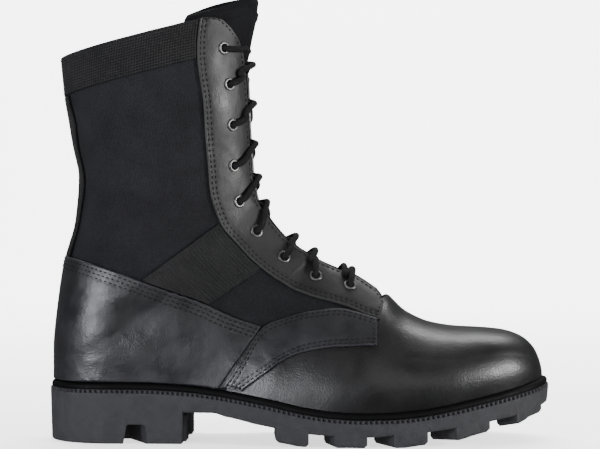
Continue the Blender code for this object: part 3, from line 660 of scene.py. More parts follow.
def on_face(places, ts, side, lift=0.0):
    """Points at a height over the face."""
    lift = np.broadcast_to(lift, np.shape(places))[..., None]
    return read_sides(0, places, ts, side) + way_out(places, ts, side) * lift


# Meshes


def turns(sides):
    return [2.0 * math.pi * step / sides for step in range(sides)]


def steps_of(length, pitch):
    return max(int(math.ceil(length / pitch)), 1)


def object_from(name, points, faces, finishes=(), smooth_angle=40.0):
    mesh = bpy.data.meshes.new(name)
    placed = (np.asarray(points, float) - np.array([HEEL_MIDDLE, 0.0, 0.0])) * METRE
    mesh.from_pydata(placed.tolist(), [], faces)
    work = bmesh.new()
    work.from_mesh(mesh)
    bmesh.ops.recalc_face_normals(work, faces=work.faces)
    work.to_mesh(mesh)
    work.free()
    mesh.shade_smooth()
    mesh.set_sharp_from_angle(angle=math.radians(smooth_angle))
    for finish in finishes:
        mesh.materials.append(finish)
    thing = bpy.data.objects.new(name, mesh)
    bpy.context.collection.objects.link(thing)
    return thing


def run_of(path):
    """Running length in millimetres at each point of a path."""
    return np.concatenate([[0.0], np.cumsum(np.linalg.norm(np.diff(path, axis=0), axis=1))])


def attribute(thing, name, values):
    layer = thing.data.attributes.new(name, "FLOAT", "POINT")
    layer.data.foreach_set("value", np.asarray(values, np.float32))


def grid_faces(rows, count, closed=False, first=0):
    faces = []
    for row in range(rows - 1):
        for column in range(count if closed else count - 1):
            after = (column + 1) % count
            low, high = first + row * count, first + (row + 1) * count
            faces.append([low + column, low + after, high + after, high + column])
    return faces


def ring_faces(rings, count, first=0):
    """Faces between rings of points one after another, with both ends closed."""
    last = first + (rings - 1) * count
    ends = [list(range(start, start + count)) for start in (first, last)]
    return grid_faces(rings, count, True, first) + ends


def distances(points):
    """Running length in millimetres down the rows and across the columns of a grid of points."""
    down = np.linalg.norm(np.diff(points, axis=0), axis=2)
    across = np.linalg.norm(np.diff(points, axis=1), axis=2)
    down = np.concatenate([np.zeros((1, points.shape[1])), np.cumsum(down, axis=0)])
    across = np.concatenate([np.zeros((points.shape[0], 1)), np.cumsum(across, axis=1)], axis=1)
    return down, across


def sheet(name, places, ts, side, low, high, finish, round_off=0.45, swell=None):
    """Closed sheet between two heights over the face, with its rim rounded, from a grid of rows.

    Each vertex keeps how far it is along the rows, across them and from the nearest rim.
    """
    places, ts = np.asarray(places, float), np.asarray(ts, float)
    side = np.broadcast_to(side, places.shape)
    face = on_face(places, ts, side, high)
    down, across = distances(face)
    rim = np.minimum(np.minimum(down, down[-1] - down), np.minimum(across, across[:, -1:] - across))
    rise = np.full(places.shape, float(high))
    near = np.clip(1.0 - rim / round_off, 0.0, 1.0)
    rise -= round_off * (1.0 - np.sqrt(1.0 - near**2)) * 0.9
    if swell is not None:
        rise += swell(down, across, rim)
    top = on_face(places, ts, side, rise)
    under = on_face(places, ts, side, low)
    rows, count = places.shape
    total = rows * count
    points = np.concatenate([top.reshape(-1, 3), under.reshape(-1, 3)])
    faces = grid_faces(rows, count)
    faces += [[total + corner for corner in reversed(quad)] for quad in grid_faces(rows, count)]
    loop = [column for column in range(count)]
    loop += [row * count + count - 1 for row in range(1, rows)]
    loop += [(rows - 1) * count + column for column in range(count - 2, -1, -1)]
    loop += [row * count for row in range(rows - 2, 0, -1)]
    for start, end in zip(loop, loop[1:] + loop[:1]):
        faces.append([end, start, total + start, total + end])
    thing = object_from(name, points, faces, [finish])
    attribute(thing, "down", np.tile(down.ravel(), 2))
    attribute(thing, "across", np.tile(across.ravel(), 2))
    attribute(thing, "rim", np.concatenate([rim.ravel(), np.zeros(total)]))
    return thing


def rims(start, end, pitch):
    """Shares from 0 to 1 at about a pitch, with closer ones beside both ends for a rounded rim."""
    length = max(end - start, 1.0)
    inner = np.linspace(0.0, 1.0, steps_of(length, pitch) + 1)
    close = np.array([0.08, 0.22, 0.45]) / length
    return np.unique(np.concatenate([inner, close, 1.0 - close]))


def half_rims(length, pitch, last):
    """Shares as rims gives them, but none close before the end, which is the middle of a piece."""
    shares = rims(0.0, length, pitch)
    return shares[(shares < last) | (shares == 1.0)]


def row_grid(row_places, start_of, end_of, pitch):
    """Grid along section lines: each row runs from a distance off the ridge to another."""
    lengths = [end_of(place) - start_of(place) for place in row_places]
    shares = rims(0.0, max(lengths), pitch)
    ts = [
        [t_at(place, start_of(place) + (end_of(place) - start_of(place)) * share) for share in shares]
        for place in row_places
    ]
    places = [[place] * len(shares) for place in row_places]
    return np.array(places), np.array(ts)


def row_spread(start, end, pitch):
    """Section lines at about a pitch in millimetres between two of them."""
    found = [start]
    guess = 0.02
    while found[-1] < end:
        here = found[-1]
        fx, fz = front(here)
        gx, gz = front(min(here + guess, TOE_ROW))
        bx, bz = base(here)
        cx, cz = base(min(here + guess, TOE_ROW))
        speed = max(math.hypot(gx - fx, gz - fz), math.hypot(cx - bx, cz - bz)) / guess
        found.append(here + pitch / max(speed, 1.0))
    found[-1] = end
    if len(found) > 2 and found[-1] - found[-2] < 0.3 * (found[-2] - found[-3]):
        del found[-2]
    return found


def with_rims(values, pitch):
    """Add rows close to the first and the last for a rounded rim."""
    first, last = values[1] - values[0], values[-1] - values[-2]
    close = [0.08 / pitch, 0.22 / pitch, 0.45 / pitch]
    head = [values[0] + first * share for share in close]
    tail = [values[-1] - last * share for share in reversed(close)]
    return [values[0]] + head + list(values[1:-1]) + tail + [values[-1]]


def iso_line(info, key, distance):
    """Section lines, t and side where a sheet's distance from its rim has a value."""
    field, places, ts, side = info[key], info["places"], info["ts"], info["side"]
    if key in ("down", "up"):
        field, places, ts, side = field.T, places.T, ts.T, side.T
    found = []
    for row in range(field.shape[0]):
        values = field[row]
        if not values.min() <= distance <= values.max():
            continue
        order = np.argsort(values)
        place = np.interp(distance, values[order], places[row][order])
        t = np.interp(distance, values[order], ts[row][order])
        near = side[row][int(np.argmin(np.abs(values - distance)))]
        found.append((place, t, near))
    return found


# Threads: distance from stitch to stitch, length and half thickness of one.
THICK_THREAD = (3.3, 2.4, 0.33)
FINE_THREAD = (2.8, 2.0, 0.26)


def sew(name, grid, face, lines, height, node, thread, sides=6):
    """Thread that shows along lines of a grid, a short rounded piece for each stitch.

    grid is a sheet's places, ts and side. Each line is a rim's name and a distance from that rim.
    """
    pitch, length, radius = thread
    info = keep(*grid, face)
    points, faces = [], []
    for key, distance in lines:
        line = iso_line(info, key, distance)
        if len(line) < 2:
            continue
        places, ts, side = (np.array(column, float) for column in zip(*line))
        path = on_face(places, ts, side, height(places, ts) if callable(height) else height)
        ways = way_out(places, ts, side)
        run = run_of(path)
        for start in np.arange(0.6, run[-1] - length - 0.4, pitch):
            along_stitch = np.linspace(0.0, 1.0, 5)
            spots = start + along_stitch * length
            centre = np.stack([np.interp(spots, run, path[:, axis]) for axis in range(3)], axis=1)
            out = unit(np.array([np.interp(start + 0.5 * length, run, ways[:, axis]) for axis in range(3)]))
            ahead = unit(centre[-1] - centre[0])
            across = unit(np.cross(ahead, out))
            round_share = np.sqrt(np.clip(1.0 - (2.0 * along_stitch - 1.0) ** 2, 0.0, 1.0))
            centre = centre + out * (radius * (1.5 * round_share[:, None] - 0.8))
            first = len(points)
            for spot, share in zip(centre, round_share):
                for angle in turns(sides):
                    ring = across * math.cos(angle) + out * math.sin(angle)
                    points.append(spot + ring * radius * max(share, 0.25))
            faces += ring_faces(5, sides, first)
    thing = object_from(name, points, faces, [THREAD], 60.0)
    place_piece(thing, [node])


def sew_leather(name, grid, lines, node):
    sew(name, grid, LEATHER_FACE, lines, LEATHER_FACE - 0.12, node, THICK_THREAD)


def sew_webbing(name, grid, lines, node):
    sew(name, grid, WEBBING_FACE, lines, WEBBING_FACE - 0.1, node, FINE_THREAD)


def place_piece(thing, nodes):
    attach(thing, "root")
    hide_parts(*nodes)


def cut(thing, cutter, operation="DIFFERENCE"):
    """Cut with another object and drop that object."""
    made = thing.modifiers.new("cut", "BOOLEAN")
    made.operation = operation
    made.solver = "EXACT"
    made.object = cutter
    bake(thing)
    bpy.data.objects.remove(cutter, do_unlink=True)


def bake(thing):
    """Replace an object's mesh with what its modifiers make of it."""
    graph = bpy.context.evaluated_depsgraph_get()
    mesh = bpy.data.meshes.new_from_object(thing.evaluated_get(graph))
    thing.modifiers.clear()
    thing.data = mesh


def from_rims(down, across):
    """Distances from a sheet's first and last row and from its two ends."""
    return {"down": down, "up": down[-1] - down, "across": across, "back": across[:, -1:] - across}


def groove(lines, depth=0.25, width=0.7):
    """Height change that presses a sheet down along its rows of stitches."""

    def swell(down, across, rim):
        fields = from_rims(down, across)
        change = np.zeros_like(down)
        for key, distance in lines:
            change -= depth * np.exp(-(((fields[key] - distance) / width) ** 2))
        return change

    return swell


def keep(places, ts, side, high):
    """Distances that stitches are placed by, of the same grid as a sheet."""
    places, ts = np.asarray(places, float), np.asarray(ts, float)
    side = np.broadcast_to(side, places.shape)
    down, across = distances(on_face(places, ts, side, high))
    return {"places": places, "ts": ts, "side": side, **from_rims(down, across)}


# Materials


def new_material(name, gloss=0.5):
    made = bpy.data.materials.new(name)
    made.use_nodes = True
    shader = made.node_tree.nodes["Principled BSDF"]
    shader.inputs["Specular IOR Level"].default_value = gloss
    return made, shader


def add_node(finish, kind, values=(), links=(), **settings):
    node = finish.node_tree.nodes.new(kind)
    for key, value in settings.items():
        setattr(node, key, value)
    for key, value in dict(values).items():
        node.inputs[key].default_value = value
    for key, output in dict(links).items():
        finish.node_tree.links.new(output, node.inputs[key])
    return node


def join(finish, output, socket):
    finish.node_tree.links.new(output, socket)


def object_place(finish):
    return add_node(finish, "ShaderNodeTexCoord").outputs["Object"]


def noise(finish, scale, detail=3.0, roughness=0.5, place=None):
    return add_node(
        finish,
        "ShaderNodeTexNoise",
        {"Scale": scale, "Detail": detail, "Roughness": roughness},
        {"Vector": place or object_place(finish)},
    ).outputs["Fac"]


def stretched(finish, value, low, high, first, last):
    return add_node(
        finish,
        "ShaderNodeMapRange",
        {"From Min": low, "From Max": high, "To Min": first, "To Max": last},
        {"Value": value},
    ).outputs["Result"]


def sums(finish, kind, first, second):
    values, links = {}, {}
    for index, value in enumerate((first, second)):
        if isinstance(value, (int, float)):
            values[index] = value
        else:
            links[index] = value
    return add_node(finish, "ShaderNodeMath", values, links, operation=kind).outputs[0]


def named(finish, name):
    return add_node(finish, "ShaderNodeAttribute", attribute_name=name).outputs["Fac"]


def bump(finish, height, strength, distance, onto=None):
    values = {"Strength": strength, "Distance": distance}
    node = add_node(finish, "ShaderNodeBump", values, {"Height": height})
    if onto is not None:
        join(finish, onto, node.inputs["Normal"])
    return node.outputs["Normal"]


def tint(finish, factor, first, second):
    ramp = add_node(finish, "ShaderNodeValToRGB", (), {"Fac": factor})
    ramp.color_ramp.elements[0].color = (*first, 1.0)
    ramp.color_ramp.elements[1].color = (*second, 1.0)
    return ramp.outputs["Color"]


def waves(finish, x, y, period, distortion=0.0):
    """Ribs in two ways over lengths in millimetres."""
    spot = add_node(finish, "ShaderNodeCombineXYZ", (), {"X": x, "Y": y}).outputs[0]
    found = []
    for direction in ("X", "Y"):
        node = add_node(
            finish,
            "ShaderNodeTexWave",
            {"Scale": 2.0 * math.pi / (20.0 * period), "Distortion": distortion, "Detail": 1.0},
            {"Vector": spot},
            wave_type="BANDS",
            bands_direction=direction,
        )
        found.append(node.outputs["Fac"])
    return found


def leather(name, dark, light, low, high, gloss=0.3, wear_and_edge_highlight=0.0, painted_sheen=False):
    """Grained leather. painted_sheen makes it lighter towards the collar: a painted sheen."""
    finish, shader = new_material(name, gloss)
    # Broad noise mottles the colour: random tone that also stands in for patchy sheen, a painted sheen.
    tone_and_painted_sheen = noise(finish, 14.0, 4.0)
    if wear_and_edge_highlight:
        # Within about a millimetre of a panel's rim the colour is lightened: a painted edge highlight. The
        # rim is also made glossier below.
        rim = stretched(finish, named(finish, "rim"), 0.1, 1.1, 0.9, 0.0)
        tone_and_painted_sheen = sums(finish, "ADD", tone_and_painted_sheen, rim)
    # The colour lightens from 60 to 120 mm up towards the collar: a painted sheen.
    if painted_sheen:
        place = add_node(finish, "ShaderNodeSeparateXYZ", (), {"Vector": object_place(finish)})
        collar_sheen = stretched(finish, place.outputs["Z"], 0.060, 0.120, -0.1, 0.3)
        tone_and_painted_sheen = sums(finish, "ADD", collar_sheen, tone_and_painted_sheen)
    colour = tint(finish, tone_and_painted_sheen, dark, light)
    join(finish, colour, shader.inputs["Base Color"])
    rough = stretched(finish, noise(finish, 55.0, 5.0), 0.3, 0.7, low, high)
    if wear_and_edge_highlight:
        edge = stretched(finish, named(finish, "rim"), 0.2, 1.2, -wear_and_edge_highlight, 0.0)
        rough = sums(finish, "ADD", rough, edge)
    join(finish, rough, shader.inputs["Roughness"])
    grain = add_node(finish, "ShaderNodeTexVoronoi", {"Scale": 1100.0}, {"Vector": object_place(finish)})
    fine = bump(finish, grain.outputs["Distance"], 0.22, 0.0003)
    soft = bump(finish, noise(finish, 160.0, 6.0, 0.6), 0.25, 0.0008, fine)
    wavy = bump(finish, noise(finish, 24.0, 3.0, 0.5), 0.5 if wear_and_edge_highlight else 0.1, 0.005, soft)
    join(finish, wavy, shader.inputs["Normal"])
    return finish


def cloth(name, dark, light, period, strength, rough=0.85, gloss=0.08):
    finish, shader = new_material(name, gloss)
    across, down = named(finish, "across"), named(finish, "down")
    ribs = waves(finish, across, down, period)
    weave = sums(finish, "MAXIMUM", ribs[0], ribs[1])
    cross = sums(finish, "MULTIPLY", ribs[0], ribs[1])
    mottled = sums(finish, "MULTIPLY", sums(finish, "ADD", weave, cross), noise(finish, 900.0, 2.0))
    patches = stretched(finish, noise(finish, 70.0, 4.0), 0.3, 0.7, 0.8, 1.15)
    mottled = sums(finish, "MULTIPLY", mottled, patches)
    join(finish, tint(finish, mottled, dark, light), shader.inputs["Base Color"])
    shader.inputs["Roughness"].default_value = rough
    fine = bump(finish, sums(finish, "SUBTRACT", weave, cross), strength, 0.0003)
    soft = bump(finish, noise(finish, 90.0, 4.0), 0.15, 0.001, fine)
    join(finish, soft, shader.inputs["Normal"])
    return finish


def plain(name, colour, rough, scale, strength, gloss=0.15):
    finish, shader = new_material(name, gloss)
    mottle = noise(finish, scale, 5.0)
    brighter = tuple(min(value * 2.3, 1.0) for value in colour)
    join(finish, tint(finish, mottle, colour, brighter), shader.inputs["Base Color"])
    patchy = stretched(finish, mottle, 0.3, 0.7, rough - 0.06, rough + 0.06)
    join(finish, patchy, shader.inputs["Roughness"])
    fine = bump(finish, noise(finish, scale * 6.0, 5.0), strength, 0.0005)
    join(finish, fine, shader.inputs["Normal"])
    return finish


def cord_finish():
    finish, shader = new_material("braided_cord", 0.1)
    around, down = named(finish, "around"), named(finish, "down")
    slants = [sums(finish, kind, around, down) for kind in ("ADD", "SUBTRACT")]
    ribs = waves(finish, *slants, 1.1)
    braid = sums(finish, "MAXIMUM", ribs[0], ribs[1])
    colour = tint(finish, braid, (0.0012, 0.0012, 0.0012), (0.0060, 0.0060, 0.0063))
    join(finish, colour, shader.inputs["Base Color"])
    shader.inputs["Roughness"].default_value = 0.8
    join(finish, bump(finish, braid, 0.7, 0.0004), shader.inputs["Normal"])
    return finish


def metal_finish():
    """Black enamel on a metal rim that is rubbed bright at its top."""
    finish, shader = new_material("eyelet_enamel")
    wear_and_edge_highlight = stretched(finish, named(finish, "wear_and_edge_highlight"), 0.3, 0.9, 0.0, 1.0)
    flakes = stretched(finish, noise(finish, 500.0, 4.0), 0.35, 0.6, 0.35, 1.0)
    patchy = sums(finish, "MULTIPLY", wear_and_edge_highlight, flakes)
    colour = tint(finish, patchy, (0.005, 0.005, 0.005), (0.10, 0.10, 0.097))
    join(finish, colour, shader.inputs["Base Color"])
    join(finish, patchy, shader.inputs["Metallic"])
    shader.inputs["Roughness"].default_value = 0.36
    return finish


CANVAS = cloth("canvas", (0.0014, 0.0015, 0.0018), (0.0135, 0.0138, 0.0158), 0.9, 0.8)
TONGUE_CLOTH = cloth("tongue_canvas", (0.0010, 0.0010, 0.0012), (0.0075, 0.0077, 0.0086), 0.9, 0.6)
LINING = cloth("lining", (0.006, 0.006, 0.007), (0.012, 0.012, 0.013), 1.3, 0.4, 0.9)
RIBBED = cloth("ribbed_webbing", (0.0007, 0.0007, 0.0008), (0.0145, 0.0145, 0.0147), 1.7, 1.0)
STRAP_CLOTH = cloth("strap_webbing", (0.0010, 0.0010, 0.0011), (0.0185, 0.0185, 0.0187), 1.1, 1.0)
VAMP = leather("vamp_leather", (0.0012, 0.0012, 0.0013), (0.0024, 0.0024, 0.0026), 0.34, 0.45, 0.36)
# The panel and eyestay leathers get painted edge highlights along their rims.
PANEL = leather("panel_leather", (0.0007, 0.0007, 0.0009), (0.0100, 0.0100, 0.0122), 0.27, 0.54, 0.35, 0.08)
# The eyestay's lighter colour, which rises further towards the collar, is a painted satin sheen.
STAY = leather(
    "eyestay_leather", (0.0012, 0.0012, 0.0012), (0.0140, 0.0140, 0.0138), 0.34, 0.58, 0.17, 0.1, True
)
THREAD = plain("thread", (0.0014, 0.0014, 0.0016), 0.6, 800.0, 0.2)
RUBBER = plain("sole_rubber", (0.0090, 0.0090, 0.0101), 0.7, 220.0, 0.4)
# Near-black rubber for the lip and the groove under it: painted shade of the overhanging upper, together
# with the dark cement line there.
LIP_SHADE_AND_CEMENT = plain("lip_shade_and_cement", (0.0006, 0.0006, 0.0007), 0.62, 120.0, 0.2, 0.06)
METAL = metal_finish()
CORD = cord_finish()


# Upper


def canvas_here(place, x, z):
    """True on the canvas: above the side band's middle and behind its front end."""
    if place < CANVAS_ROW:
        return True
    last = side_curve(BAND_TOP, 1.0)[0]
    if x > last - 1.0:
        return False
    if x < side_curve(BAND_TOP, 0.0)[0]:
        return True
    share = bisect(lambda value: side_curve(BAND_TOP, value)[0] - x, 0.0, 1.0)
    middle_z = 0.5 * (side_curve(BAND_TOP, share)[1] + side_curve(BAND_LOW, share)[1])
    return z > middle_z


def make_upper():
    places = row_spread(COLLAR_ROW, TOE_ROW, 2.4)
    shares = np.unique(np.concatenate([np.linspace(0.0, 1.0, 73), [0.003, 0.008]]))
    edges_t = np.array([[throat_edge(place)] for place in places])
    points, ways, faces, kinds, facts, known = [], [], [], [], [], {}
    for side in (-1, 1):
        index = []
        grid = np.array([[place] * len(shares) for place in places])
        ts = edges_t + (1.0 - edges_t) * shares
        spots = on_face(grid, ts, side)
        outs = way_out(grid, ts, side)
        down, across = distances(spots)
        for row in range(len(places)):
            line = []
            for column in range(len(shares)):
                key = tuple(np.round(spots[row, column], 3))
                if key not in known:
                    known[key] = len(points)
                    points.append(spots[row, column])
                    ways.append(outs[row, column])
                    facts.append((down[row, -1] * 0.5 + down[row, column] * 0.5, across[row, column]))
                line.append(known[key])
            index.append(line)
        for row in range(len(places) - 1):
            for column in range(len(shares) - 1):
                low, high = index[row][column : column + 2], index[row + 1][column : column + 2]
                corners = list(dict.fromkeys(low + high[::-1]))
                if len(corners) > 2:
                    faces.append(corners)
                    spot = spots[row, column]
                    kinds.append(0 if canvas_here(places[row], spot[0], spot[2]) else 1)
    count = len(points)
    edges = {}
    for face in faces:
        for start, end in zip(face, face[1:] + face[:1]):
            edges.setdefault(frozenset((start, end)), []).append((start, end))
    rim = [pair[0] for pair in edges.values() if len(pair) == 1]
    points, ways = np.array(points), np.array(ways)
    inner = points - ways * WALL
    all_faces = faces + [[count + corner for corner in reversed(face)] for face in faces]
    all_faces += [[end, start, count + start, count + end] for start, end in rim]
    thing = object_from("upper_shell", np.concatenate([points, inner]), all_faces, [CANVAS, VAMP, LINING])
    slots = kinds + [2] * (len(all_faces) - len(kinds))
    thing.data.polygons.foreach_set("material_index", slots)
    attribute(thing, "down", np.tile([fact[0] for fact in facts], 2))
    attribute(thing, "across", np.tile([fact[1] for fact in facts], 2))
    return thing


def eyelet_cutter(radius, low, high, sides=20):
    points, faces = [], []
    for side in (-1, 1):
        for index in range(len(EYELETS)):
            centre, out, across, other = eyelet_frame(index, side)
            first = len(points)
            for height in (low, high):
                for angle in turns(sides):
                    ray = across * math.cos(angle) + other * math.sin(angle)
                    points.append(centre + ray * radius + out * height)
            faces += ring_faces(2, sides, first)
    return object_from("eyelet_cutter", points, faces)


def eyelet_place(index):
    x, z = EYELETS[index]
    return locate(x * FOOT_LENGTH, z * COLLAR_HEIGHT)


EYELET_PLACES = [eyelet_place(index) for index in range(len(EYELETS))]


def eyelet_frame(index, side):
    place, t = EYELET_PLACES[index]
    centre = on_face(np.array([place]), np.array([t]), side)[0]
    out = way_out(np.array([place]), np.array([t]), side)[0]
    across = unit(np.cross(out, np.array([1.0, 0.0, 0.0])))
    return centre, out, across, np.cross(out, across)


def make_eyelets():
    rest = OVERLAY_LIFT + LEATHER + 0.02
    profile = [
        # radius, height, worn
        (2.12, -WALL, 0.0),
        (2.70, -WALL, 0.0),
        (2.70, rest - 0.1, 0.0),
        (3.95, rest - 0.05, 0.1),
        (4.00, rest + 0.30, 0.3),
        (3.75, rest + 0.62, 0.6),
        (3.35, rest + 0.84, 1.0),
        (2.90, rest + 0.88, 1.0),
        (2.50, rest + 0.70, 0.7),
        (2.25, rest + 0.30, 0.2),
        (2.12, rest - 0.40, 0.0),
    ]
    sides = 32
    for word, side in SIDES:
        for index in range(len(EYELETS)):
            centre, out, across, other = eyelet_frame(index, side)
            points, wear_and_edge_highlight = [], []
            for angle in turns(sides):
                ray = across * math.cos(angle) + other * math.sin(angle)
                for radius, height, rub in profile:
                    points.append(centre + ray * radius + out * height)
                    wear_and_edge_highlight.append(rub)
            total = len(points)
            faces = grid_faces(sides + 1, len(profile), True)
            faces = [[corner % total for corner in face] for face in faces]
            thing = object_from(f"eyelet_ring_{word}_{index + 1}", points, faces, [METAL], 50.0)
            attribute(thing, "wear_and_edge_highlight", wear_and_edge_highlight)
            place_piece(thing, [f"eyelet_{word}_{index + 1}"])


# Panels


def paired(places, start_ts, end_ts, shares):
    """Grid from one side over the middle to the other, each row from an outer end to an inner end."""
    rows, marks, sides = [], [], []
    for place, start, end in zip(places, start_ts, end_ts):
        outer = [start + (end - start) * share for share in shares]
        rows.append(outer + outer[-2::-1])
        marks.append([place] * (2 * len(shares) - 1))
        sides.append([-1] * len(shares) + [1] * (len(shares) - 1))
    return np.array(marks), np.array(rows), np.array(sides)


def finer(grid, rows, columns):
    """Fill a coarse grid of values with steps between its own."""
    grid = np.asarray(grid, float)
    row_at = np.linspace(0, grid.shape[0] - 1, (grid.shape[0] - 1) * rows + 1)
    column_at = np.linspace(0, grid.shape[1] - 1, (grid.shape[1] - 1) * columns + 1)
    wide = np.array([np.interp(column_at, np.arange(grid.shape[1]), row) for row in grid])
    return np.array([np.interp(row_at, np.arange(grid.shape[0]), column) for column in wide.T]).T


def trimmed(grid, close=(0.05, 0.14, 0.3)):
    """Add lines beside a grid's four rims, at shares of its first and last steps."""
    for _ in range(2):
        head = [grid[0] + (grid[1] - grid[0]) * share for share in close]
        tail = [grid[-1] + (grid[-2] - grid[-1]) * share for share in reversed(close)]
        grid = np.array([grid[0], *head, *grid[1:-1], *tail, grid[-1]]).T
    return grid


def make_eyestays():
    places = with_rims(row_spread(COLLAR_ROW, EYESTAY_END_ROW, 1.5), 1.5)
    grid, ts = row_grid(places, eyestay_front, eyestay_rear, 1.3)
    lines = (("across", 2.2), ("back", 2.0), ("back", 4.4))
    swell = groove(lines)
    for word, side in SIDES:
        name = "eyestay_panel_" + word
        thing = sheet(name, grid, ts, side, OVERLAY_LIFT, LEATHER_FACE, STAY, swell=swell)
        cut(thing, eyelet_cutter(2.75, -4.0, 6.0))
        place_piece(thing, ["eyestay_" + word])
        rows = lines + (("down", 2.2), ("up", 2.2))
        sew_leather("eyestay_thread_" + word, (grid, ts, side), rows, "eyestay_" + word)


def make_collar_band():
    places = with_rims(row_spread(COLLAR_ROW, BAND_ROW, 1.2), 1.2)
    starts = [t_at(place, eyestay_rear(place) + PANEL_GAP) for place in places]
    shares = half_rims(110.0, 1.3, 0.99)
    grid = paired(places, starts, [1.0] * len(places), shares)
    lines = (("down", 1.8), ("up", 1.8))
    thing = sheet("collar_webbing", *grid, OVERLAY_LIFT, WEBBING_FACE, RIBBED, 0.4, groove(lines, 0.2))
    place_piece(thing, ["collar_band"])
    sew_webbing("collar_thread", grid, lines, "collar_band")


def make_backstay():
    """Webbing strip up the shaft's back. Its foot follows the quarter's top edge."""
    shares = half_rims(18.0, 1.0, 0.97)
    foot_place = stay_foot(1.0)
    start = t_at(foot_place, line_length(foot_place) - STAY_REACH)
    foot = [stay_foot(start + (1.0 - start) * share) for share in shares]
    places = with_rims(row_spread(BAND_ROW + BAND_STAY_GAP, foot_place, 1.5), 1.5)
    starts = [t_at(place, line_length(place) - STAY_REACH) for place in places]
    marks, ts, sides = paired(places, starts, [1.0] * len(places), shares)
    foot = np.array(foot + foot[-2::-1])
    down = (np.array(places) - places[0]) / (places[-1] - places[0])
    marks = marks + (foot - foot_place) * (down**4)[:, None]
    lines = (("across", 1.8), ("back", 1.8))
    grid = (marks, ts, sides)
    swell = groove(lines, 0.15)
    thing = sheet("backstay_webbing", *grid, OVERLAY_LIFT, WEBBING_FACE, STRAP_CLOTH, 0.4, swell)
    place_piece(thing, ["backstay"])
    sew_webbing("backstay_thread", grid, lines, "backstay")


def quarter_cells(share, steps):
    """Places and ts of the quarter from its top edge down to the sole, at a share from the back."""
    top_x, top_z = side_curve(QUARTER_TOP, share)
    back = back_at(top_z)
    first, last = side_curve(QUARTER_TOP, 0.0)[0], side_curve(QUARTER_TOP, 1.0)[0]
    top_x = back + (top_x - first) * (last - back) / (last - first)
    low_row = sole_row(base(CORNER_ROW)[0] + QUARTER_FOOT * (top_x - back) / (last - back))
    low_x, low_z = base(low_row)
    cells = []
    for down in np.linspace(0.0, 1.0, steps + 1):
        x = top_x + (low_x - top_x) * down
        z = top_z + (low_z + QUARTER_LIFT - top_z) * down
        if share == 0.0:
            x = back_at(z)
        cells.append(locate(x, z))
    return cells


def make_quarter():
    count = 36
    shares = [1.0 - math.cos(0.5 * math.pi * index / count) for index in range(count + 1)]
    cells = np.array([quarter_cells(share, 22) for share in reversed(shares)])
    places, ts = finer(cells[..., 0], 2, 3), finer(cells[..., 1], 2, 3)
    ts[-1] = 1.0
    places, ts = trimmed(places)[:-3], trimmed(ts)[:-3]
    ts[-1] = 1.0
    places = np.concatenate([places, places[-2::-1]])
    ts = np.concatenate([ts, ts[-2::-1]])
    half = (len(places) + 1) // 2
    side = np.array([[-1] * places.shape[1]] * half + [[1] * places.shape[1]] * (half - 1))
    lines = (("across", 2.4), ("across", 5.0), ("across", 7.6))
    grid = (places, ts, side)
    thing = sheet("quarter_leather", *grid, OVERLAY_LIFT, LEATHER_FACE, PANEL, swell=groove(lines))
    place_piece(thing, ["quarter"])
    sew_leather("quarter_thread", grid, lines, "quarter")


def make_side_bands():
    cells = []
    for share in np.linspace(0.0, 1.0, 41):
        top_x, top_z = side_curve(BAND_TOP, share)
        low_x, low_z = side_curve(BAND_LOW, share)
        row = [
            locate(top_x + (low_x - top_x) * down, top_z + (low_z - top_z) * down)
            for down in np.linspace(0.0, 1.0, 7)
        ]
        cells.append(row)
    cells = np.array(cells)
    places, ts = trimmed(finer(cells[..., 0], 3, 3)), trimmed(finer(cells[..., 1], 3, 3))
    lines = (("across", 1.8), ("across", 4.2), ("back", 1.8), ("back", 4.2), ("down", 2.2), ("up", 2.0))
    for word, side in SIDES:
        grid = (places, ts, side)
        swell = groove(lines, 0.2)
        thing = sheet("side_band_panel_" + word, *grid, OVERLAY_LIFT, LEATHER_FACE, PANEL, swell=swell)
        place_piece(thing, ["side_band_" + word])
        sew_leather("side_band_thread_" + word, grid, lines, "side_band_" + word)


def make_underlays():
    """Edge of the quarter that runs on under the side band."""
    front_edge = quarter_cells(1.0, EDGE_CELLS)[::-1]
    overlap = np.array([EDGE_OVERLAP, 0.0])
    cells = []
    for step, (place, t) in enumerate(front_edge[:-1]):
        near = np.array(line_point(place, share_of(place, t))) - overlap
        far = np.array(side_curve(BAND_TOP, step / EDGE_CELLS * EDGE_SHARE)) + overlap
        cells.append([locate(*(near + (far - near) * way)) for way in (0.0, 0.5, 1.0)])
    cells = np.array(cells)
    places, ts = finer(cells[..., 0], 3, 4), finer(cells[..., 1], 3, 4)
    for word, side in SIDES:
        thing = sheet("quarter_edge_" + word, places, ts, side, 0.05, OVERLAY_LIFT - 0.05, PANEL, 0.1)
        place_piece(thing, ["quarter"])


def strap_end(place):
    """t where a section line meets the quarter's top edge, less the gap between panels."""

    def past(t):
        x, z = line_point(place, share_of(place, t))
        return quarter_top(x) + PANEL_GAP - z

    return bisect(past, t_at(place, eyestay_rear(place)), STRAP_LAST)


def make_ankle_straps():
    places = with_rims(row_spread(*STRAP_ROWS, 1.2), 1.2)
    known = np.linspace(*STRAP_ROWS, 12)
    ends = np.interp(places, known, [strap_end(place) for place in known])
    starts = np.array([t_at(place, eyestay_rear(place) + PANEL_GAP) for place in places])
    shares = np.linspace(0.0, 1.0, 221)
    ts = starts[:, None] + (ends - starts)[:, None] * shares
    marks = np.array([[place] * len(shares) for place in places])

    def ribs(down, across, rim):
        inside = np.clip(rim / 1.0, 0.0, 1.0)
        return 0.2 * (np.sin(across * 2.0 * math.pi / 2.05) - 1.0) * inside

    for word, side in SIDES:
        grid = (marks, ts, side)
        thing = sheet("strap_webbing_" + word, *grid, OVERLAY_LIFT, WEBBING_FACE, STRAP_CLOTH, 0.35, ribs)
        place_piece(thing, ["ankle_strap_" + word])


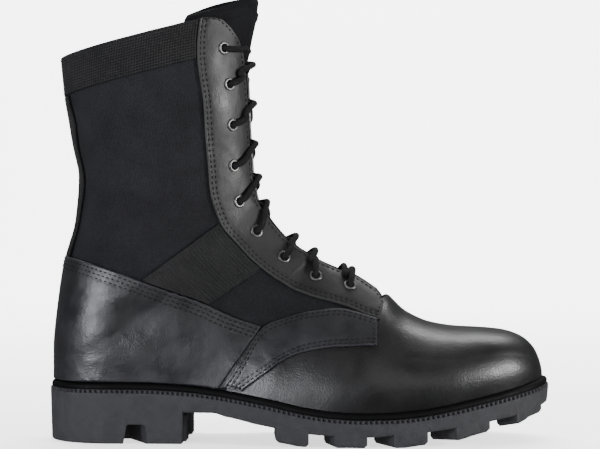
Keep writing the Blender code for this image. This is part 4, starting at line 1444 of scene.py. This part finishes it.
# Tongue: height of its face over the upper's, thickness, how far the lace presses it in, how far the
# fold above the lace stands out and how far that reaches in t.
TONGUE_FACE = -3.0
TONGUE_THICKNESS = 3.0
TONGUE_PRESS = 3.4
TONGUE_FOLD = 6.5
FOLD_REACH = 0.075
PRESS_ROWS = (1.2, 1.2, 16.2, 0.8)
FOLD_ROWS = (-0.3, 1.6, 2.05, 1.0)


def make_tongue():
    half_row = columns(TONGUE, ("row", "half"))
    places = with_rims(row_spread(0.0, THROAT_END_ROW, 2.0), 2.0)
    shares = half_rims(40.0, 1.5, 0.99)
    starts = [
        t_at(place, table_at(half_row["row"], half_row["half"], place) * TONGUE_WIDTH) for place in places
    ]
    marks, ts, sides = grid = paired(places, starts, [0.0] * len(places), shares)
    swell = tongue_swell(marks, ts)
    back = TONGUE_FACE - TONGUE_THICKNESS
    thing = sheet("tongue_flap", *grid, back, TONGUE_FACE, TONGUE_CLOTH, 0.9, swell)
    lower(thing, marks, ts, sides)
    place_piece(thing, ["tongue"])
    rows = (("down", 3.0), ("down", 13.0))
    sew("tongue_thread", grid, TONGUE_FACE, rows, tongue_face, "tongue", FINE_THREAD)


def between(rows, start, rise, end, fall):
    """1 from one row to another and 0 outside, over a rise and a fall in rows."""
    return smooth((rows - start) / rise) * (1.0 - smooth((rows - end) / fall))


def tongue_drop(marks, ts):
    """How far the tongue lies in under the lace, less the fold that it stands out in above the lace."""
    press = TONGUE_PRESS * between(marks, *PRESS_ROWS)
    return press - TONGUE_FOLD * between(marks, *FOLD_ROWS) * (1.0 - smooth(ts / FOLD_REACH))


def tongue_face(marks, ts):
    return TONGUE_FACE - 0.05 - tongue_drop(marks, ts)


def tongue_swell(marks, ts):
    def swell(down, across, rim):
        hem = 0.5 * smooth((14.0 - down) / 0.8) * smooth(rim / 1.0)
        return -tongue_drop(marks, ts) + hem - 0.5

    return swell


def lower(thing, marks, ts, sides):
    """Drop the tongue's underside by as much as its face."""
    count = marks.size
    drop = (tongue_drop(marks, ts).reshape(-1, 1) * way_out(marks, ts, sides).reshape(-1, 3)) * METRE
    for index in range(count):
        spot = thing.data.vertices[count + index]
        spot.co = spot.co - Vector(drop[index])


# Sole and insole


TOOTH_PITCH = 3.1
TOOTH_POINTS = 4
TOOTH_PROUD = 1.5
LIP_GROOVE = 0.9
# Rings at the top of the sole, the lip and its groove, that take the near-black rubber of painted shade.
SHADED_LIP_RINGS = 9


def half_outline():
    """Section lines whose bases stand a quarter of a tooth apart along the outer side."""
    fine = CORNER_ROW + (TOE_ROW - CORNER_ROW) * 0.5 * (1.0 - np.cos(np.linspace(0.0, math.pi, 700)))
    path = np.array([surface(place, 1.0, -1) for place in fine])
    run = run_of(path)
    teeth = round(run[-1] / TOOTH_PITCH)
    found = np.interp(np.linspace(0.0, run[-1], teeth * TOOTH_POINTS + 1), run, fine)
    breast = int(np.argmin([abs(base(place)[0] - HEEL_BREAST) for place in found]))
    found[breast] = sole_row(HEEL_BREAST - BREAST_STEP)
    found[breast + 1] = sole_row(HEEL_BREAST + BREAST_STEP)
    return found


def base_loop(places):
    half = [[surface(place, 1.0, side) for place in places] for side in (-1, 1)]
    return np.array(half[0] + half[1][-2:0:-1])


def moved_out(loop, reach, over=2):
    """Loop moved out across its own direction, taken over a few points so that steps stay even."""
    before, after = np.roll(loop, over, axis=0), np.roll(loop, -over, axis=0)
    ways = np.stack([after[:, 1] - before[:, 1], before[:, 0] - after[:, 0], np.zeros(len(loop))], axis=1)
    reach = np.broadcast_to(reach, (len(loop),))[:, None]
    return loop + unit(ways) * reach


def stacked(name, rings, finishes, angle=35.0):
    count = len(rings[0])
    faces = grid_faces(len(rings), count, True)
    last = count - 1
    caps = [[0, 1, last]]
    for index in range(1, count // 2 - 1):
        caps.append([index, index + 1, last - index, last - index + 1])
    caps.append([count // 2 - 1, count // 2, count // 2 + 1])
    faces += [list(reversed(face)) for face in caps]
    faces += [[corner + (len(rings) - 1) * count for corner in face] for face in caps]
    return object_from(name, np.concatenate(rings), faces, finishes, angle)


def at_heights(loop, heights):
    found = np.array(loop, float)
    found[:, 2] = heights
    return found


def make_outsole():
    places = half_outline()
    loop = base_loop(places)
    seats = loop[:, 2] - CLEARANCE
    wall = LIP_REACH + SIDE_STEP
    tooth = np.arange(len(loop)) % TOOTH_POINTS
    crest = np.where((tooth == 1) | (tooth == 2), 1.0, 0.0)
    lip_foot = seats - LIP_HEIGHT
    foot = np.array([underside(point[0]) for point in loop])
    levels = [(-SEAT_INSET, seats)]
    for angle in np.linspace(0.0, 0.5 * math.pi, 6):
        reach = LIP_REACH - LIP_RADIUS + LIP_RADIUS * math.sin(angle)
        levels.append((reach, seats - LIP_RADIUS * (1.0 - math.cos(angle))))
    levels += [
        (LIP_REACH, lip_foot + 1.9),
        (LIP_REACH - LIP_GROOVE, lip_foot + 1.5),
        (LIP_REACH - LIP_GROOVE, lip_foot + 1.0),
        (LIP_REACH - LIP_GROOVE + crest * TOOTH_PROUD, lip_foot + 0.9 * crest),
        (LIP_REACH - 0.7 + crest * TOOTH_PROUD, lip_foot - 0.6),
        (wall, lip_foot - 1.1),
        (wall - 0.5 * WALL_DRAFT, 0.5 * (lip_foot - 1.1 + foot)),
    ]
    for angle in np.linspace(0.0, 0.5 * math.pi, 4):
        reach = wall - WALL_DRAFT - EDGE_ROUND * (1.0 - math.cos(angle))
        levels.append((reach, foot + EDGE_ROUND * (1.0 - math.sin(angle))))
    rings = [at_heights(moved_out(loop, reach), height) for reach, height in levels]
    sole = stacked("outsole_rubber", rings, [RUBBER, LIP_SHADE_AND_CEMENT])
    # The first rings' faces get the near-black rubber: painted shade under the upper with the cement line.
    shaded_lip_faces = SHADED_LIP_RINGS * len(loop)
    slots = [1 if index < shaded_lip_faces else 0 for index in range(len(sole.data.polygons))]
    sole.data.polygons.foreach_set("material_index", slots)
    for side in (-1, 1):
        cut(sole, make_lugs(side), "UNION")
    cut(sole, make_notches())
    cut(sole, make_breast_ribs(), "UNION")
    sole.data.shade_smooth()
    sole.data.set_sharp_from_angle(angle=math.radians(32.0))
    place_piece(sole, ["outsole"])


LUG_SCENE_STEPS = 8


def lug_loop(lug, side):
    start, end, start_drop, end_drop, length = lug
    edge, inset = [], []
    for share in spread(0.0, 1.0, LUG_SCENE_STEPS):
        x = (start + (end - start) * share) * FOOT_LENGTH
        place = sole_row(min(x, FOOT_LENGTH * LUG_LAST))
        point = surface(place, 1.0, side)
        ahead = surface(place + 0.05, 1.0, side) - surface(place - 0.05, 1.0, side)
        way = Vector((ahead.y, -ahead.x, 0.0)).normalized() * -side
        reach = LIP_REACH + SIDE_STEP + LUG_PROUD
        drop = (start_drop + (end_drop - start_drop) * share) * COLLAR_HEIGHT
        back = Vector((LUG_SLANT * length, 0.0, 0.0))
        edge.append((point + way * reach, drop))
        inset.append((point - way * (LUG_LENGTH * length - reach) - back, drop))
    loop = edge + list(reversed(inset[::LUG_SCENE_STEPS]))
    return [(point, max(underside(point.x) - drop, 0.0)) for point, drop in loop]


def make_lugs(side):
    points, faces = [], []
    for lug in LUGS:
        loop = lug_loop(lug, side)
        centre = sum((point for point, _ in loop), Vector()) / len(loop)
        first, count = len(points), len(loop)
        for point, height in loop:
            points.append(Vector((point.x, point.y, underside(point.x) + LUG_EMBED)))
        for inset, lift in ((0.0, LUG_CHAMFER), (0.5, 0.7 * LUG_CHAMFER), (LUG_CHAMFER, 0.0)):
            for point, height in loop:
                way = centre - point
                way.z = 0.0
                spot = point + way.normalized() * inset
                points.append(Vector((spot.x, spot.y, height + lift)))
        faces += ring_faces(4, count, first)
    return object_from("lug_guide", points, faces)


def make_notches():
    points, faces = [], []
    for side in (-1, 1):
        taper = 0.5 * (NOTCH_WIDTH - NOTCH_TOP_WIDTH)
        first = len(points)
        for y in (side * HEEL_WIDTH, side * (0.5 * HEEL_WIDTH - NOTCH_DEPTH)):
            back = (abs(y) - 0.5 * HEEL_WIDTH) / NOTCH_DEPTH * NOTCH_SLANT
            start = NOTCH_START + back
            points.append((start - taper * 0.1, y, -1.0))
            points.append((start + NOTCH_WIDTH, y, -1.0))
            points.append((start + NOTCH_WIDTH - taper * 0.8, y, NOTCH_HEIGHT - 1.0))
            points.append((start + NOTCH_WIDTH - taper - 0.8, y, NOTCH_HEIGHT))
            points.append((start + taper + 0.8, y, NOTCH_HEIGHT))
            points.append((start + taper * 0.8, y, NOTCH_HEIGHT - 1.0))
        faces += [list(range(start, start + 6)) for start in (first, first + 6)]
        faces += grid_faces(2, 6, True, first)
    return object_from("notch_cutter", points, faces)


def make_breast_ribs():
    """Three upright ribs on the heel's front face at each side, round in front and flat behind."""
    points, faces = [], []
    radius, back = 2.2, HEEL_BREAST - 1.5
    for y in (-27.0, -20.0, -13.0, 13.0, 20.0, 27.0):
        first = len(points)
        for height in (0.8, 17.0):
            for step in range(9):
                angle = math.pi * step / 8 - 0.5 * math.pi
                x = HEEL_BREAST - 0.2 + radius * math.cos(angle)
                points.append((x, y + radius * math.sin(angle), height))
            points += [(back, y + radius, height), (back, y - radius, height)]
        faces += ring_faces(2, 11, first)
    return object_from("breast_ribs", points, faces)


def make_insole():
    rows = [8.0, 8.6, 9.0, 9.4, 9.8, 10.4, 11.2, 11.8, 12.4, *range(13, 25), 24.6, 26.0]
    loop = base_loop(rows)
    edge = rounded_loop(moved_out(loop, -(WALL + INSOLE_GAP), 1), 6)
    low = edge[:, 2].copy()
    centre = edge.mean(axis=0)
    rings = [edge]
    for inset, under in ((0.0, 0.8), (0.3, 0.2), (1.0, 0.0)):
        ring = edge + unit(centre - edge) * inset
        rings.append(at_heights(ring, low + (INSOLE_THICKNESS - under)))
    thing = stacked("insole_liner", rings[::-1], [LINING])
    attribute(thing, "down", [vertex.co.x / METRE for vertex in thing.data.vertices])
    attribute(thing, "across", [vertex.co.y / METRE for vertex in thing.data.vertices])
    place_piece(thing, ["insole"])


def rounded_loop(points, per):
    """Closed loop with curved steps between its points."""
    found = []
    count = len(points)
    for index in range(count):
        p = [points[(index + shift) % count] for shift in (-1, 0, 1, 2)]
        for step in range(per):
            s = step / per
            found.append(
                0.5
                * (
                    2 * p[1]
                    + (p[2] - p[0]) * s
                    + (2 * p[0] - 5 * p[1] + 4 * p[2] - p[3]) * s**2
                    + (3 * p[1] - p[0] - 3 * p[2] + p[3]) * s**3
                )
            )
    return np.array(found)


# Lace


LACE_RADIUS = 1.85
LACE_SIDES_FINE = 14
LACE_UNDER = -(WALL + LACE_RADIUS + 0.1)


def lace_spot(place, distance, side, lift):
    t = t_at(place, abs(distance))
    way = side if distance >= 0.0 else -side
    return on_face(np.array([place]), np.array([t]), way, lift)[0]


def eyelet_reach(index):
    place, t = EYELET_PLACES[index]
    return share_of(place, t) * line_length(place)


def crossing(index, side, over):
    """Lace from the eyelet below on one side, over the throat and under the other side's eyestay."""
    low_place, high_place = EYELET_PLACES[index + 1][0], EYELET_PLACES[index][0]
    low_reach, high_reach = eyelet_reach(index + 1), eyelet_reach(index)
    face, under = LEATHER_FACE, LACE_UNDER
    ride_height = face + LACE_RADIUS + 0.15
    edge = eyestay_front(high_place)
    top = 2.7 if over else -0.8

    def at(share, distance, lift):
        place = low_place + (high_place - low_place) * share
        return lace_spot(place, distance, side, lift)

    return [
        at(0.00, low_reach, under + 0.3),
        at(0.00, low_reach, 0.0),
        at(0.00, low_reach, face + 0.6),
        at(0.02, low_reach - 1.1, face + 2.5),
        at(0.05, low_reach - 3.2, face + 3.0),
        at(0.14, low_reach - 6.0, ride_height + 0.3),
        at(0.26, edge + 2.0, ride_height),
        at(0.40, 1.4, top),
        at(0.50, -1.6, top - 0.9),
        at(0.60, -edge - 0.6, under + 1.6),
        at(0.68, -edge - 4.0, under),
        at(0.84, -(0.5 * (edge + high_reach)) - 2.0, under),
        at(0.97, -high_reach + 1.2, under),
    ]


def make_lace():
    face = LEATHER_FACE
    chains = []
    for side in (-1, 1):
        spots = []
        at_side = side
        for index in range(len(EYELETS) - 2, -1, -1):
            spots += crossing(index, at_side, at_side < 0)
            at_side = -at_side
        place, reach = EYELET_PLACES[0][0], eyelet_reach(0)
        spots += [
            lace_spot(place, reach, at_side, 0.0),
            lace_spot(place, reach, at_side, face + 0.6),
            lace_spot(place + 0.02, reach - 1.1, at_side, face + 2.5),
            lace_spot(place + 0.05, reach - 3.4, at_side, face + 3.0),
            lace_spot(place + 0.08, reach - 7.0, at_side, face + LACE_RADIUS + 0.3),
            lace_spot(place + 0.10, 0.5 * eyestay_front(place), at_side, 1.5),
            lace_spot(place + 0.12, 1.0, at_side, -1.0),
        ]
        chains.append(spots)
    last = len(EYELETS) - 1
    place, reach = EYELET_PLACES[last][0], eyelet_reach(last)
    spans = np.linspace(reach - 2.0, -reach + 2.0, 7)
    bar = [lace_spot(place, distance, -1, LACE_UNDER) for distance in spans]
    spots = chains[0][::-1] + bar + chains[1]
    path = rounded_path(np.array(spots), 0.8)
    thing = tube("lace_cord", path, LACE_RADIUS)
    place_piece(thing, [f"lace_crossing_{index + 1}" for index in range(len(EYELETS) - 1)])


def rounded_path(points, pitch):
    """Curve through points, cut at an even pitch."""
    found = []
    for index in range(len(points) - 1):
        p = [points[min(max(index + shift, 0), len(points) - 1)] for shift in (-1, 0, 1, 2)]
        spans = [max(np.linalg.norm(p[i + 1] - p[i]), 1e-3) ** 0.5 for i in range(3)]
        times = np.cumsum([0.0, *spans])
        for time in np.linspace(times[1], times[2], 14, endpoint=False):
            a = [
                p[i] * (times[i + 1] - time) / spans[i] + p[i + 1] * (time - times[i]) / spans[i]
                for i in range(3)
            ]
            b = [
                a[i] * (times[i + 2] - time) / (times[i + 2] - times[i])
                + a[i + 1] * (time - times[i]) / (times[i + 2] - times[i])
                for i in range(2)
            ]
            found.append(b[0] * (times[2] - time) / spans[1] + b[1] * (time - times[1]) / spans[1])
    found.append(points[-1])
    found = np.array(found)
    run = run_of(found)
    spots = np.linspace(0.0, run[-1], steps_of(run[-1], pitch) + 1)
    return np.stack([np.interp(spots, run, found[:, axis]) for axis in range(3)], axis=1)


def tube(name, path, radius):
    """Round cord along a path with closed ends. It keeps how far along and around each vertex is."""
    ahead = unit(np.gradient(path, axis=0))
    across = unit(np.cross(ahead[0], np.array([0.3, 1.0, 0.2])))
    points, down, around = [], [], []
    run = run_of(path)
    for index, spot in enumerate(path):
        across = unit(across - ahead[index] * np.dot(across, ahead[index]))
        other = np.cross(ahead[index], across)
        for step in range(LACE_SIDES_FINE):
            angle = 2.0 * math.pi * step / LACE_SIDES_FINE
            points.append(spot + (across * math.cos(angle) + other * math.sin(angle)) * radius)
            down.append(run[index])
            around.append(abs(step / LACE_SIDES_FINE - 0.5) * 4.0 * radius * math.pi)
    faces = ring_faces(len(path), LACE_SIDES_FINE)
    thing = object_from(name, points, faces, [CORD], 60.0)
    attribute(thing, "down", down)
    attribute(thing, "around", around)
    return thing


# Floor, lights and camera, in metres


def make_floor():
    finish, shader = new_material("floor")
    shader.inputs["Base Color"].default_value = (0.90, 0.90, 0.91, 1.0)
    shader.inputs["Roughness"].default_value = 0.7
    shader.inputs["Emission Color"].default_value = (1.0, 1.0, 1.0, 1.0)
    shader.inputs["Emission Strength"].default_value = 1.45
    points, faces = [], []
    profile = [(-1.6, 0.0)]
    for step in range(17):
        angle = 0.5 * math.pi * step / 16
        profile.append((2.2 + 0.8 * math.sin(angle), 0.8 * (1.0 - math.cos(angle))))
    profile.append((3.0, 4.0))
    for y, z in profile:
        points += [(-4.0, y, z), (4.0, y, z)]
    for index in range(len(profile) - 1):
        low = 2 * index
        faces.append([low, low + 1, low + 3, low + 2])
    mesh = bpy.data.meshes.new("floor")
    mesh.from_pydata(points, [], faces)
    mesh.shade_smooth()
    mesh.materials.append(finish)
    floor = bpy.data.objects.new("floor", mesh)
    bpy.context.collection.objects.link(floor)
    floor.visible_glossy = False


def softbox(name, spot, aim, width, height, power, colour=(1.0, 1.0, 1.0)):
    lamp = bpy.data.lights.new(name, "AREA")
    lamp.shape = "RECTANGLE"
    lamp.size, lamp.size_y = width, height
    lamp.energy = power
    lamp.color = colour
    thing = bpy.data.objects.new(name, lamp)
    thing.location = spot
    thing.rotation_euler = (Vector(aim) - Vector(spot)).to_track_quat("-Z", "Y").to_euler()
    bpy.context.collection.objects.link(thing)


def make_lights():
    world = bpy.data.worlds.new("studio")
    world.use_nodes = True
    world.node_tree.nodes["Background"].inputs["Color"].default_value = (1.0, 1.0, 1.0, 1.0)
    world.node_tree.nodes["Background"].inputs["Strength"].default_value = 0.12
    bpy.context.scene.world = world
    softbox("key", (1.14, -0.43, 0.30), (0.17, 0.0, 0.04), 0.28, 0.26, 23.0)
    softbox("fill", (-0.84, -0.90, 0.20), (0.0, 0.0, 0.07), 0.48, 0.34, 24.0, (0.93, 0.93, 1.0))
    softbox("side", (-0.34, -1.16, 0.12), (-0.02, 0.0, 0.06), 0.20, 0.14, 3.2, (0.95, 0.95, 1.0))
    softbox("front", (0.45, -1.30, 0.75), (0.05, 0.0, 0.16), 0.50, 0.70, 3.5)
    softbox("top", (0.1, -0.2, 1.5), (0.1, 0.0, 0.1), 0.9, 0.7, 3.5)
    softbox("backdrop", (0.1, 1.2, 2.2), (0.1, 2.6, 0.6), 3.0, 1.0, 280.0)


def make_camera():
    lens = bpy.data.cameras.new("camera")
    lens.lens = 134.5
    lens.sensor_width = 36.0
    lens.clip_start = 0.05
    camera = bpy.data.objects.new("camera", lens)
    aim = Vector((0.11665, 0.0, 0.1335))
    azimuth, elevation, distance = math.radians(2.25), math.radians(0.95), 1.4
    level = math.cos(elevation)
    spot = Vector((math.sin(azimuth) * level, -math.cos(azimuth) * level, math.sin(elevation))) * distance
    camera.location = aim + spot
    camera.rotation_euler = (-spot).to_track_quat("-Z", "Y").to_euler()
    bpy.context.collection.objects.link(camera)
    bpy.context.scene.camera = camera


def main():
    upper = make_upper()
    cut(upper, eyelet_cutter(2.9, -5.0, 3.0))
    place_piece(upper, ["upper"])
    make_eyestays()
    make_collar_band()
    make_backstay()
    make_quarter()
    make_side_bands()
    make_underlays()
    make_ankle_straps()
    make_tongue()
    make_outsole()
    make_insole()
    make_eyelets()
    make_lace()
    make_floor()
    make_lights()
    make_camera()


main()
